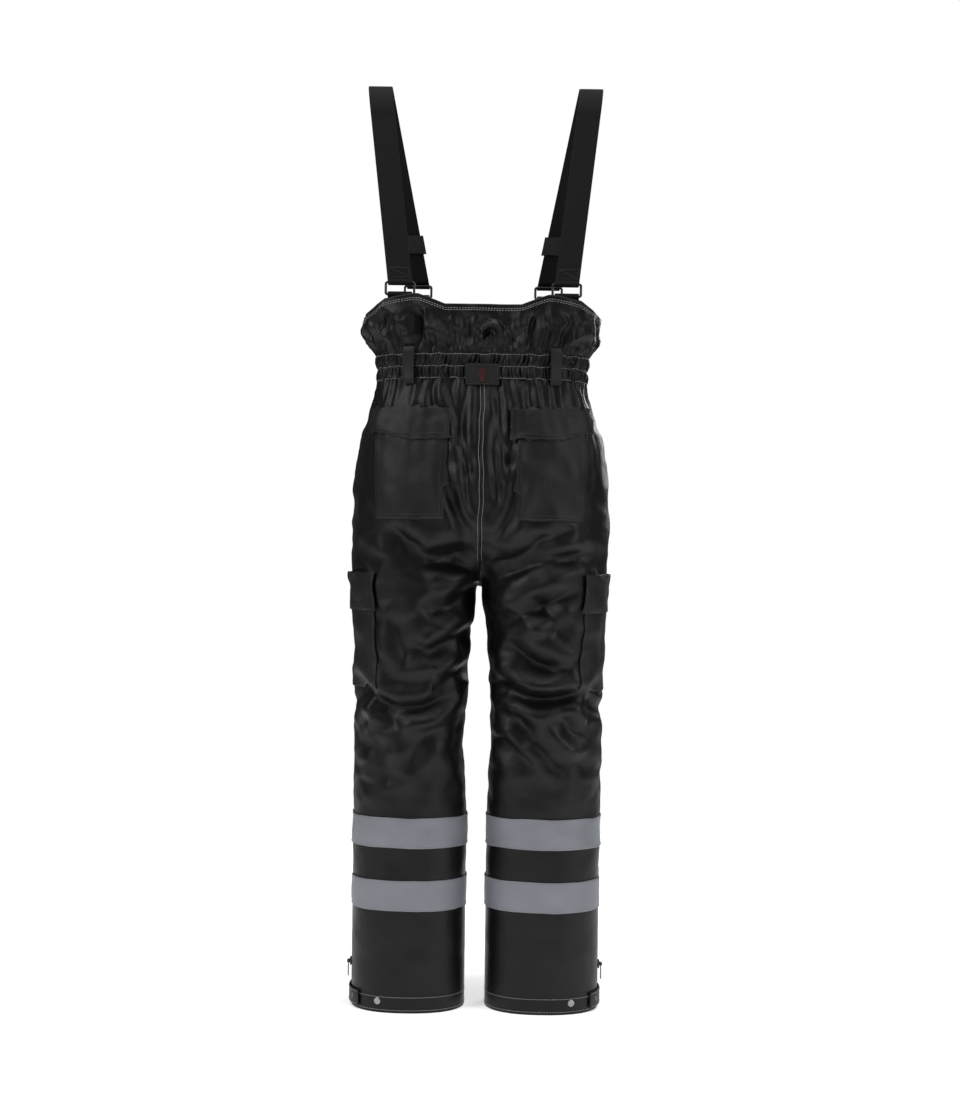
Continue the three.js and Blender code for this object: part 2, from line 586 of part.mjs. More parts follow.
/** Webbing folded round a ring's lower bar and sewn to the inside of the bib. */
function ringWeb(x, barZ, y, facing, tail) {
  const half = WEBBING / 2;
  const eye = prism('x', roundOutline([0, 0], EYE_OUT, EYE_SIDES), -half, half, [roundOutline([0, 0], EYE_RADIUS, EYE_SIDES)], 4);
  const neck = EYE_RADIUS + GAP;
  const tailGeometry = new THREE.BoxGeometry(WEBBING, 2 * WEBBING_THICK, tail - neck, 4, 1, 4);
  tailGeometry.translate(0, 0, -(tail + neck) / 2);
  const sewn = solid(tailGeometry).add(solid(eye));
  return sewn.warp((point) => {
    const z = barZ + point[2];
    const down = Math.min(1, Math.max(0, (-point[2] - EYE_OUT) / (tail * 0.45)));
    const wall = wallDepth(x + point[0], z, -SHELL - REST, facing) - facing * WEBBING_THICK;
    point[1] += y + (wall - y) * down;
    point[0] += x;
    point[2] = z;
  });
}

// The suspender's path, seen from the side: [y, z] along its middle
const ARCH_HALF = 58;
const ARCH_Z = STRAP_TOP - ARCH_HALF - WEBBING_THICK / 2;
const backEye = [BACK_Y, BACK_BAR_Z + RING_PITCH];
const frontEye = [FRONT_Y, FRONT_BAR_Z + RING_PITCH];
const LIMB_STEPS = 5;
const ARCH_STEPS = 12;

/** Offsets the path to one side, from the eye at its start to the eye at its end. */
function strapSide(off) {
  const points = [];
  const limb = (from, to, count) => {
    const [dy, dz] = [to[0] - from[0], to[1] - from[1]];
    const length = Math.hypot(dy, dz);
    for (let i = 0; i < count; i += 1) {
      const t = i / count;
      points.push([from[0] + dy * t - (dz / length) * off, from[1] + dz * t + (dy / length) * off]);
    }
  };
  limb(along(backEye, [ARCH_HALF, ARCH_Z], EYE_RADIUS + 0.6), [ARCH_HALF, ARCH_Z], LIMB_STEPS);
  for (let i = 0; i <= ARCH_STEPS; i += 1) {
    const turn = (Math.PI * i) / ARCH_STEPS;
    points.push([(ARCH_HALF - off) * Math.cos(turn), ARCH_Z + (ARCH_HALF - off) * Math.sin(turn)]);
  }
  const end = along(frontEye, [-ARCH_HALF, ARCH_Z], EYE_RADIUS + 0.6);
  limb([-ARCH_HALF, ARCH_Z], end, LIMB_STEPS);
  points.splice(-LIMB_STEPS, 1);
  const [dy, dz] = [end[0] + ARCH_HALF, end[1] - ARCH_Z];
  const length = Math.hypot(dy, dz);
  points.push([end[0] - (dz / length) * off, end[1] + (dy / length) * off]);
  return points;
}

/** The point a given distance from one point towards another. */
function along(from, to, distance) {
  const length = Math.hypot(to[0] - from[0], to[1] - from[1]);
  return [from[0] + ((to[0] - from[0]) * distance) / length, from[1] + ((to[1] - from[1]) * distance) / length];
}

/** Where the middle of the webbing lies across, at a point of the back or the front limb. */
function strapX(y, z) {
  const [ringX, eyeZ] = y > 0 ? [BACK_RING_X, backEye[1]] : [FRONT_RING_X, frontEye[1]];
  return ringX + ((STRAP_TOP_X - ringX) * (z - eyeZ)) / (STRAP_TOP - eyeZ);
}
/** One suspender: webbing from eye to eye, over the shoulder. */
function strap() {
  const half = WEBBING / 2;
  const outline = [...strapSide(-WEBBING_THICK / 2), ...strapSide(WEBBING_THICK / 2).reverse()];
  let part = solid(prism('x', outline, -half, half));
  for (const eye of [backEye, frontEye]) {
    part = part.add(solid(prism('x', roundOutline(eye, EYE_OUT, EYE_SIDES), -half, half)));
  }
  for (const eye of [backEye, frontEye]) {
    part = part.subtract(solid(prism('x', roundOutline(eye, EYE_RADIUS, EYE_SIDES), -FAR, FAR)));
  }
  return part.warp((point) => {
    point[0] += strapX(point[1], point[2]);
  });
}

const ADJUSTER = { half: 25, tall: 30, thick: 7, window: 9, up: 55 };
const frontSlope = {
  x: (STRAP_TOP_X - FRONT_RING_X) / (STRAP_TOP - frontEye[1]),
  y: (-ARCH_HALF - frontEye[0]) / (ARCH_Z - frontEye[1]),
};

/** A slide buckle round the front limb, with two windows either side of its bar. */
function adjuster() {
  const { half, tall, thick, window } = ADJUSTER;
  const room = WEBBING_THICK / 2 + 0.6;
  let part = block([-half, -thick / 2, 0], [half, thick / 2, tall]);
  part = part.subtract(block([-WEBBING / 2 - 0.7, -room, -1], [WEBBING / 2 + 0.7, room, tall + 1]));
  for (const bottom of [3, tall - 3 - window]) {
    part = part.subtract(block([-half + 5, -thick, bottom], [half - 5, -room + 0.1, bottom + window]));
  }
  const z = frontEye[1] + ADJUSTER.up;
  return part.warp((point) => {
    point[0] += strapX(-1, z + point[2]);
    point[1] += frontEye[0] + frontSlope.y * (ADJUSTER.up + point[2]);
    point[2] += z;
  });
}

/** The mirror image of a solid, for the right-hand side. */
function handed(part, side) {
  return side > 0 ? part : part.mirror([1, 0, 0]);
}

for (const { side, hand } of SIDES) {
  add(`suspender_${hand}`, handed(strap(), side), webbing);
  add(`adjuster_${hand}`, handed(adjuster(), side), hardware);
  for (const { where, x, y, z, facing } of [
    { where: 'back', x: BACK_RING_X, y: BACK_Y, z: BACK_BAR_Z, facing: 1 },
    { where: 'front', x: FRONT_RING_X, y: FRONT_Y, z: FRONT_BAR_Z, facing: -1 },
  ]) {
    add(`${where}_ring_${hand}`, ring(), hardware).position.set(side * x, y, z);
    add(`${where}_ring_web_${hand}`, handed(ringWeb(x, z, y, facing, 45), side), webbing);
  }
}

export default trousers;
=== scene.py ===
"""Insulated bib trousers with suspenders: cloth, trim, fittings and a plain studio."""

import json

import bmesh
import bpy
import numpy as np
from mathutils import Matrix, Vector


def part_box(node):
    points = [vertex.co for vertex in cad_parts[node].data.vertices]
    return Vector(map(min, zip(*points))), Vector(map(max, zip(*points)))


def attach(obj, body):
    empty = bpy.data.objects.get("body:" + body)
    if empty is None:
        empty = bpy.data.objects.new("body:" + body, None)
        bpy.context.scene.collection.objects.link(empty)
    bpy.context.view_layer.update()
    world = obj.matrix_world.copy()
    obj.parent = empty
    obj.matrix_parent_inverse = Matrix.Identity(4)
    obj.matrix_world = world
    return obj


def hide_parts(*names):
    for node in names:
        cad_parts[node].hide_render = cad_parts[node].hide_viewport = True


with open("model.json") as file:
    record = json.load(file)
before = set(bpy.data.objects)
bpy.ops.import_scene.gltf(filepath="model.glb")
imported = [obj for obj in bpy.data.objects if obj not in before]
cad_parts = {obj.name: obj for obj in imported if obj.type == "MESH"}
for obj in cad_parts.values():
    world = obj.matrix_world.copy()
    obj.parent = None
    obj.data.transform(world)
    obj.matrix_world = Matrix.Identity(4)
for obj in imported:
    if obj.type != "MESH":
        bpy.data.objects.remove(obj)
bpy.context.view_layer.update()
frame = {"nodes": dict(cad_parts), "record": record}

bl_info = {
    "name": "Bib trousers",
    "version": (1, 0, 0),
    "blender": (4, 5, 0),
    "location": "View3D > Sidebar > Trousers",
    "description": "Dresses the packed frame of a pair of bib trousers as cloth",
    "category": "Object",
}

# ------------------------------------------------------------------ sizes taken from the frame

MM = 0.001
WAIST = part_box("waistband")[0][2]
BAND_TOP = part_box("waistband")[1][2]
BACK_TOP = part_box("back_bib")[1][2]
FRONT_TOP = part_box("front_bib_left")[1][2]
HEM_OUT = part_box("reflective_band_lower_left")[1][0]
HEM_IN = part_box("reflective_band_lower_left")[0][0]
HEM_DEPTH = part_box("reflective_band_lower_left")[1][1] - MM
LEG_X = (HEM_OUT + HEM_IN) / 2
FLY_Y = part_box("front_panel_left")[0][1]
INSEAM = 0.712
SIDES = ((1, "left"), (-1, "right"))


# ------------------------------------------------------------------ settings

class ClothSettings(bpy.types.PropertyGroup):
    """Sizes of the cloth."""

    voxel: bpy.props.FloatProperty(
        name="Voxel", description="Cell size of the remeshed shell", default=4.4 * MM, unit="LENGTH")
    crease: bpy.props.FloatProperty(
        name="Crease depth", description="Scale of every fold in the shell", default=1.0)
    gather: bpy.props.FloatProperty(
        name="Gather depth", description="Depth of the gathers at the waist", default=3.4 * MM, unit="LENGTH")
    hem: bpy.props.FloatProperty(
        name="Hem", description="Height of the hem's stitch line", default=26 * MM, unit="LENGTH")


class ColourSettings(bpy.types.PropertyGroup):
    """Colours of the cloths and threads."""

    shell: bpy.props.FloatVectorProperty(
        name="Shell", description="Coated outer cloth", subtype="COLOR", size=3, default=(0.0026, 0.0024, 0.0027))
    pocket: bpy.props.FloatVectorProperty(
        name="Pockets", description="Cloth of pockets and flaps", subtype="COLOR", size=3,
        default=(0.0068, 0.0062, 0.0076))
    thread: bpy.props.FloatVectorProperty(
        name="Thread", description="Contrast stitching", subtype="COLOR", size=3, default=(0.36, 0.36, 0.37))
    silver: bpy.props.FloatVectorProperty(
        name="Silver", description="Reflective bands", subtype="COLOR", size=3, default=(0.205, 0.216, 0.242))


def cloth():
    """The cloth sizes of this scene."""
    return bpy.context.scene.trouser_cloth


def colours():
    """The colours of this scene."""
    return bpy.context.scene.trouser_colours


# ------------------------------------------------------------------ shader writing

class Value:
    """A number socket that adds Math nodes when it is used in an expression."""

    def __init__(self, shader, socket):
        self.shader, self.socket = shader, socket

    def math(self, operation, *others):
        """This value, then the others, through one Math node."""
        values = [v.socket if isinstance(v, Value) else v for v in (self, *others)]
        return self.shader.node("ShaderNodeMath", {"operation": operation}, dict(enumerate(values)))

    def __add__(self, other):
        return self.math("ADD", other)

    def __sub__(self, other):
        return self.math("SUBTRACT", other)

    def __rsub__(self, other):
        return (self * -1) + other

    def __mul__(self, other):
        return self.math("MULTIPLY", other)

    __radd__ = __add__
    __rmul__ = __mul__


class Shader:
    """One material, written node by node."""

    def __init__(self, name, **constants):
        self.material = bpy.data.materials.new(name)
        self.material.use_nodes = True
        self.nodes = self.material.node_tree.nodes
        self.links = self.material.node_tree.links
        self.main = self.nodes["Principled BSDF"]
        for key, value in constants.items():
            self.main.inputs[key.replace("_", " ")].default_value = value

    def node(self, kind, settings=None, inputs=None, output=0):
        """Any node: its settings first, then its sockets, as values or links."""
        made = self.nodes.new(kind)
        for key, value in (settings or {}).items():
            if key == "stops":
                ramp = made.color_ramp
                for stop, (place, tone) in zip((ramp.elements[0], ramp.elements[-1]), value):
                    stop.position, stop.color = place, (tone, tone, tone, 1)
            else:
                setattr(made, key, value)
        for key, value in (inputs or {}).items():
            self.feed(made.inputs[key], value)
        return Value(self, made.outputs[output])

    def feed(self, socket, value):
        """Links a socket, or sets its value."""
        if isinstance(value, Value):
            value = value.socket
        if isinstance(value, bpy.types.NodeSocket):
            self.links.new(value, socket)
        else:
            socket.default_value = value

    def place(self, scale=(1, 1, 1), turn=(0, 0, 0)):
        """Object coordinates, scaled and turned."""
        where = self.node("ShaderNodeTexCoord", output="Object")
        return self.node("ShaderNodeMapping", {}, {"Vector": where, "Scale": scale, "Rotation": turn})

    def noise(self, scale, detail=3.0, place=None, rough=0.5):
        """Smooth noise over the piece."""
        return self.node("ShaderNodeTexNoise", {}, {
            "Vector": place or self.place(), "Scale": scale, "Detail": detail, "Roughness": rough})

    def ramp(self, value, low, high):
        """A value cut to run from black at one place to white at another."""
        return self.node("ShaderNodeValToRGB", {"stops": ((low, 0), (high, 1))}, {"Fac": value})

    def mix(self, factor, first, second):
        """One colour into another."""
        return self.node("ShaderNodeMix", {"data_type": "RGBA"}, {0: factor, 6: first, 7: second}, output=2)

    def bump(self, height, distance, strength=1.0):
        """A height in the surface's normal."""
        self.feed(self.main.inputs["Normal"], self.node("ShaderNodeBump", {}, {
            "Height": height, "Distance": distance, "Strength": strength}))


def tone(colour, factor):
    """A colour made lighter or darker, with its alpha."""
    return (*(channel * factor for channel in colour), 1.0)


def weave_height(shader, pitch):
    """Two crossed sets of fine threads: sine ridges along the height and around the piece."""
    up = shader.node("ShaderNodeTexWave", {"wave_type": "BANDS", "bands_direction": "Z"}, {
        "Vector": shader.place(), "Scale": 0.31 / pitch, "Distortion": 0.6, "Detail": 1.0})
    across = shader.node("ShaderNodeTexWave", {"wave_type": "BANDS", "bands_direction": "X"}, {
        "Vector": shader.place(), "Scale": 0.31 / pitch, "Distortion": 0.6, "Detail": 1.0})
    return up * across


def coated_cloth(name, colour, pitch=1.1 * MM, rough=0.42):
    """Tightly woven coated nylon: fine weave, slow mottling, small puckers."""
    shader = Shader(name, Specular_IOR_Level=0.28)
    mottle = shader.noise(9, 4)
    fine = shader.noise(420, 2)
    shader.feed(shader.main.inputs["Base Color"], shader.mix(mottle, tone(colour, 0.8), tone(colour, 1.3)))
    shader.feed(shader.main.inputs["Roughness"], mottle * 0.12 + fine * 0.08 + (rough - 0.1))
    pucker = shader.noise(55, 4, shader.place((1, 1, 0.55)), 0.55)
    shader.bump(weave_height(shader, pitch) * 0.1 + pucker * 1.0 + fine * 0.05, 1.5 * MM, 0.6)
    return shader.material


def plain_weave(name, colour, pitch, rough=0.75, ribs="Z"):
    """Webbing, tape and elastic: raised ribs with a little lint."""
    shader = Shader(name, Sheen_Weight=0.02, Specular_IOR_Level=0.12)
    ribs_height = shader.node("ShaderNodeTexWave", {"wave_type": "BANDS", "bands_direction": ribs}, {
        "Vector": shader.place(), "Scale": 0.31 / pitch, "Distortion": 0.4, "Detail": 1.0})
    lint = shader.noise(900, 2)
    shader.feed(shader.main.inputs["Base Color"], shader.mix(ribs_height, tone(colour, 0.75), tone(colour, 1.3)))
    shader.feed(shader.main.inputs["Roughness"], lint * 0.1 + (rough - 0.05))
    shader.bump(ribs_height * 0.7 + lint * 0.3, 0.35 * MM, 0.7)
    return shader.material


def silver_band():
    """Glass-bead tape: even silver with a fine hexagonal grain and faint handling marks."""
    shader = Shader("silver_band", Specular_IOR_Level=0.45, Metallic=0.25)
    bead = shader.node("ShaderNodeTexVoronoi", {}, {"Vector": shader.place(), "Scale": 900.0})
    marks = shader.noise(26, 5)
    silver = colours().silver
    shader.feed(shader.main.inputs["Base Color"], shader.mix(marks, tone(silver, 0.88), tone(silver, 1.12)))
    shader.feed(shader.main.inputs["Roughness"], bead * 0.12 + marks * 0.08 + 0.38)
    shader.bump(bead * 0.4 + marks * 0.8, 0.3 * MM, 0.5)
    return shader.material


def metal(name, colour, rough, metallic):
    """Pressed or cast fittings: fine scratches, duller in patches."""
    shader = Shader(name, Metallic=metallic)
    scratch = shader.noise(160, 6, shader.place((1, 1, 6)))
    worn = shader.noise(40, 3)
    shader.feed(shader.main.inputs["Base Color"], shader.mix(worn, tone(colour, 0.8), tone(colour, 1.2)))
    shader.feed(shader.main.inputs["Roughness"], scratch * 0.18 + worn * 0.1 + (rough - 0.12))
    shader.bump(scratch, 0.12 * MM, 0.4)
    return shader.material


def quilted():
    """Lining cloth: matte with a soft nap."""
    shader = Shader("quilted_lining", Sheen_Weight=0.2)
    nap = shader.noise(300, 3)
    shader.feed(shader.main.inputs["Base Color"], shader.mix(nap, (0.02, 0.021, 0.024, 1), (0.04, 0.042, 0.048, 1)))
    shader.feed(shader.main.inputs["Roughness"], nap * 0.15 + 0.75)
    shader.bump(nap, 0.4 * MM, 0.5)
    return shader.material


def thread(name, colour):
    """Twisted sewing thread."""
    shader = Shader(name, Specular_IOR_Level=0.3)
    ply = shader.noise(1500, 1)
    shader.feed(shader.main.inputs["Base Color"], shader.mix(ply, tone(colour, 0.75), tone(colour, 1.15)))
    shader.main.inputs["Roughness"].default_value = 0.7
    shader.bump(ply, 0.1 * MM, 0.5)
    return shader.material


def paper_floor():
    """A plain pale sweep."""
    shader = Shader("pale_floor")
    grain = shader.noise(3, 2)
    shader.feed(shader.main.inputs["Base Color"], shader.mix(grain, (0.92, 0.92, 0.92, 1), (0.95, 0.95, 0.95, 1)))
    shader.main.inputs["Roughness"].default_value = 0.9
    shader.main.inputs["Emission Color"].default_value = (1, 1, 1, 1)
    shader.main.inputs["Emission Strength"].default_value = 0.5
    return shader.material


MATERIALS = {}
MAKERS = {
    "shell_cloth": lambda: coated_cloth("shell_cloth", colours().shell),
    "pocket_cloth": lambda: coated_cloth("pocket_cloth", colours().pocket, rough=0.5),
    "lining": quilted,
    "elastic": lambda: plain_weave("elastic", (0.015, 0.015, 0.017), 1.6 * MM, ribs="Z"),
    "reflective": silver_band,
    "band_border": lambda: plain_weave("band_border", (0.26, 0.25, 0.245), 0.9 * MM),
    "snap_metal": lambda: metal("snap_metal", (0.32, 0.33, 0.34), 0.32, 0.95),
    "zip_tape": lambda: plain_weave("zip_tape", (0.01, 0.01, 0.011), 0.9 * MM),
    "webbing": lambda: plain_weave("webbing", (0.0062, 0.0060, 0.0064), 1.3 * MM),
    "hardware": lambda: metal("hardware", (0.03, 0.03, 0.032), 0.42, 0.5),
    "patch_cloth": lambda: coated_cloth("patch_cloth", (0.008, 0.008, 0.009), 0.8 * MM, 0.6),
    "patch_mark": lambda: thread("patch_mark", (0.28, 0.012, 0.018)),
    "light_thread": lambda: thread("light_thread", colours().thread),
    "dark_thread": lambda: thread("dark_thread", (0.045, 0.044, 0.047)),
}


def finish_of(name):
    """The material of that name, made the first time it is asked for."""
    if name not in MATERIALS:
        MATERIALS[name] = MAKERS[name]()
    return MATERIALS[name]


# ------------------------------------------------------------------ mesh building

def new_piece(name, points, faces, finish, smooth=True):
    """A mesh object from whole arrays of points and faces."""
    mesh = bpy.data.meshes.new(name)
    mesh.from_pydata(np.asarray(points, float).reshape(-1, 3).tolist(), [], np.asarray(faces).tolist())
    mesh.polygons.foreach_set("use_smooth", np.full(len(mesh.polygons), smooth))
    mesh.materials.append(finish_of(finish))
    mesh.update()
    piece = bpy.data.objects.new(name, mesh)
    bpy.context.scene.collection.objects.link(piece)
    return piece


def grid_faces(rows, columns, wrap=False):
    """Quads of a grid of points, row by row; wrap closes each row into a ring."""
    across = columns if wrap else columns - 1
    row, column = np.meshgrid(np.arange(rows - 1), np.arange(across), indexing="ij")
    here = row * columns + column
    right = row * columns + (column + 1) % columns
    return np.stack([here, right, right + columns, here + columns], -1).reshape(-1, 4)


def surface(name, points, finish, wrap=False, flip=False):
    """A piece from a grid of points, shape (rows, columns, 3)."""
    rows, columns = points.shape[:2]
    faces = grid_faces(rows, columns, wrap)
    return new_piece(name, points, faces[:, ::-1] if flip else faces, finish)


def modify(piece, kind, **settings):
    """One modifier with its settings."""
    modifier = piece.modifiers.new(kind.lower(), kind)
    for key, value in settings.items():
        setattr(modifier, key, value)
    return modifier


def settle(piece):
    """Makes a piece's modifiers part of its mesh."""
    bpy.context.view_layer.update()
    graph = bpy.context.evaluated_depsgraph_get()
    mesh = bpy.data.meshes.new_from_object(piece.evaluated_get(graph))
    piece.modifiers.clear()
    old, piece.data = piece.data, mesh
    bpy.data.meshes.remove(old)
    return piece


def points_of(piece):
    """A mesh's points as an array."""
    flat = np.empty(len(piece.data.vertices) * 3)
    piece.data.vertices.foreach_get("co", flat)
    return flat.reshape(-1, 3)


def normals_of(piece):
    """A mesh's point normals as an array."""
    flat = np.empty(len(piece.data.vertices) * 3)
    piece.data.vertex_normals.foreach_get("vector", flat)
    return flat.reshape(-1, 3)


def put_points(piece, points):
    """Moves every point of a mesh at once."""
    piece.data.vertices.foreach_set("co", points.ravel())
    piece.data.update()


def lay_on(piece, target, offset, method="NEAREST_SURFACEPOINT", axis=None):
    """Lays a sheet on another piece, a little above it, and makes that its shape."""
    settings = {"target": target, "offset": offset, "wrap_mode": "ABOVE_SURFACE", "wrap_method": method}
    if method == "PROJECT":
        settings.update(wrap_mode="OUTSIDE_SURFACE", use_negative_direction=True, use_positive_direction=True)
        settings[f"use_project_{axis}"] = True
    modify(piece, "SHRINKWRAP", **settings)
    return settle(piece)


def done(piece, body, slot, *nodes):
    """Says which body a piece rides on and the frame nodes it stands for; slot, its finish, is not used."""
    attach(piece, body)
    if nodes:
        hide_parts(*nodes)
    return piece


# ------------------------------------------------------------------ the trouser form

LEG_SQUARE = 2.3
# height, centre, half-width, half-depth of a leg
LEG = np.array([
    (-0.05, LEG_X, LEG_X - HEM_IN, HEM_DEPTH), (0.32, LEG_X, LEG_X - HEM_IN, HEM_DEPTH),
    (0.45, 0.1155, 0.0915, 0.088),
    (0.584, 0.1115, 0.0933, 0.097), (0.676, 0.1075, 0.099, 0.106),
    (0.712, 0.105, 0.104, 0.110),
    (0.772, 0.105, 0.094, 0.100)])
# height, half-width, depth behind, depth in front, pinch towards the crotch, squareness
TORSO = np.array([
    (0.712, 0.211, 0.112, 0.108, 0.72, 2.4),
    (0.755, 0.216, 0.125, 0.119, 0.35, 2.4),
    (0.789, 0.215, 0.134, 0.125, 0.10, 2.5),
    (0.876, 0.213, 0.138, 0.125, 0, 2.6),
    (0.942, 0.205, 0.132, 0.125, 0, 2.7),
    (0.996, 0.187, 0.121, 0.125, 0, 2.9),
    (1.040, 0.172, 0.113, 0.125, 0, 3.0),
    (1.082, 0.175, 0.114, 0.125, 0, 3.2),
    (1.106, 0.189, 0.118, 0.125, 0, 3.6),
    (1.134, 0.197, 0.120, 0.125, 0, 4.0),
    (1.247, 0.200, 0.122, 0.125, 0, 4.0)])


def stations(table, heights):
    """Each column of a table at the given heights, smoothed by averaging over a few centimetres."""
    spread = np.linspace(-0.018, 0.018, 7)
    wide = heights[..., None] + spread
    return [np.interp(wide, table[:, 0], table[:, column]).mean(-1) for column in range(1, table.shape[1])]


def squashed(circle, power):
    """Signed power of a sine or cosine, which squares an ellipse's corners."""
    return np.sign(circle) * np.abs(circle) ** (2 / power)


def torso_points(turn, height, grow=0.0):
    """The torso's skin: a squared ellipse at each height, with its middle drawn in near the crotch."""
    half, back, front, pinch, square = stations(TORSO, height)
    x = squashed(np.cos(turn), square) * (half + grow)
    depth = np.where(np.sin(turn) > 0, back, front) + grow
    inward = 1 - np.abs(x) / (half + grow)
    y = squashed(np.sin(turn), square) * depth * (1 - pinch * inward ** 2)
    return np.stack([x, y, height + 0 * x], -1)


def leg_points(turn, height, side, grow=0.0):
    """A leg's skin: a squared ellipse about the leg's own centre line."""
    centre, half, depth = stations(LEG, height)
    x = side * centre + squashed(np.cos(turn), LEG_SQUARE) * (half + grow)
    y = squashed(np.sin(turn), LEG_SQUARE) * (depth + grow)
    return np.stack([x, y, height + 0 * x], -1)


def ring_grid(bottom, top, rows, columns):
    """Turn and height of every point of a tube."""
    turn = np.arange(columns) * 2 * np.pi / columns
    height = np.linspace(bottom, top, rows)
    return np.meshgrid(turn, height)


def capped(grid, start):
    """A tube's quads and its two end faces, numbered from a starting point."""
    rows, columns = grid.shape[:2]
    faces = [list(face + start) for face in grid_faces(rows, columns, True)]
    low = [start + i for i in range(columns)][::-1]
    high = [start + (rows - 1) * columns + i for i in range(columns)]
    return [*faces, low, high]


def rough_form(name, grow, coarse=1.0):
    """Torso and legs as three closed tubes, remeshed into one skin and smoothed where they meet."""
    turn, height = ring_grid(0.712 - grow, 1.20, 60, 120)
    tubes = [torso_points(turn, height, grow)]
    turn, height = ring_grid(-0.03, 0.772, 90, 72)
    tubes += [leg_points(turn, height, side, grow) for side, _ in SIDES]
    faces, start = [], 0
    for tube in tubes:
        faces += capped(tube, start)
        start += tube.shape[0] * tube.shape[1]
    mesh = bpy.data.meshes.new(name)
    mesh.from_pydata(np.concatenate([t.reshape(-1, 3) for t in tubes]).tolist(), [], faces)
    mesh.materials.append(finish_of("shell_cloth"))
    piece = bpy.data.objects.new(name, mesh)
    bpy.context.scene.collection.objects.link(piece)
    modify(piece, "REMESH", mode="VOXEL", voxel_size=cloth().voxel * coarse, use_smooth_shade=True)
    modify(piece, "SMOOTH", factor=0.5, iterations=10)
    return settle(piece)


def wave_noise(points, seed, length):
    """Smooth noise: a sum of sine waves in seeded directions, about one wave per length."""
    draw = np.random.default_rng(seed)
    directions = draw.normal(size=(14, 3))
    directions /= np.linalg.norm(directions, axis=1)[:, None]
    rates = 2 * np.pi / (np.asarray(length) * draw.uniform(0.6, 1.5, (14, 1)))
    phases = draw.uniform(0, 2 * np.pi, 14)
    return np.sin(points @ (directions * rates).T + phases).sum(1) / 14 ** 0.5


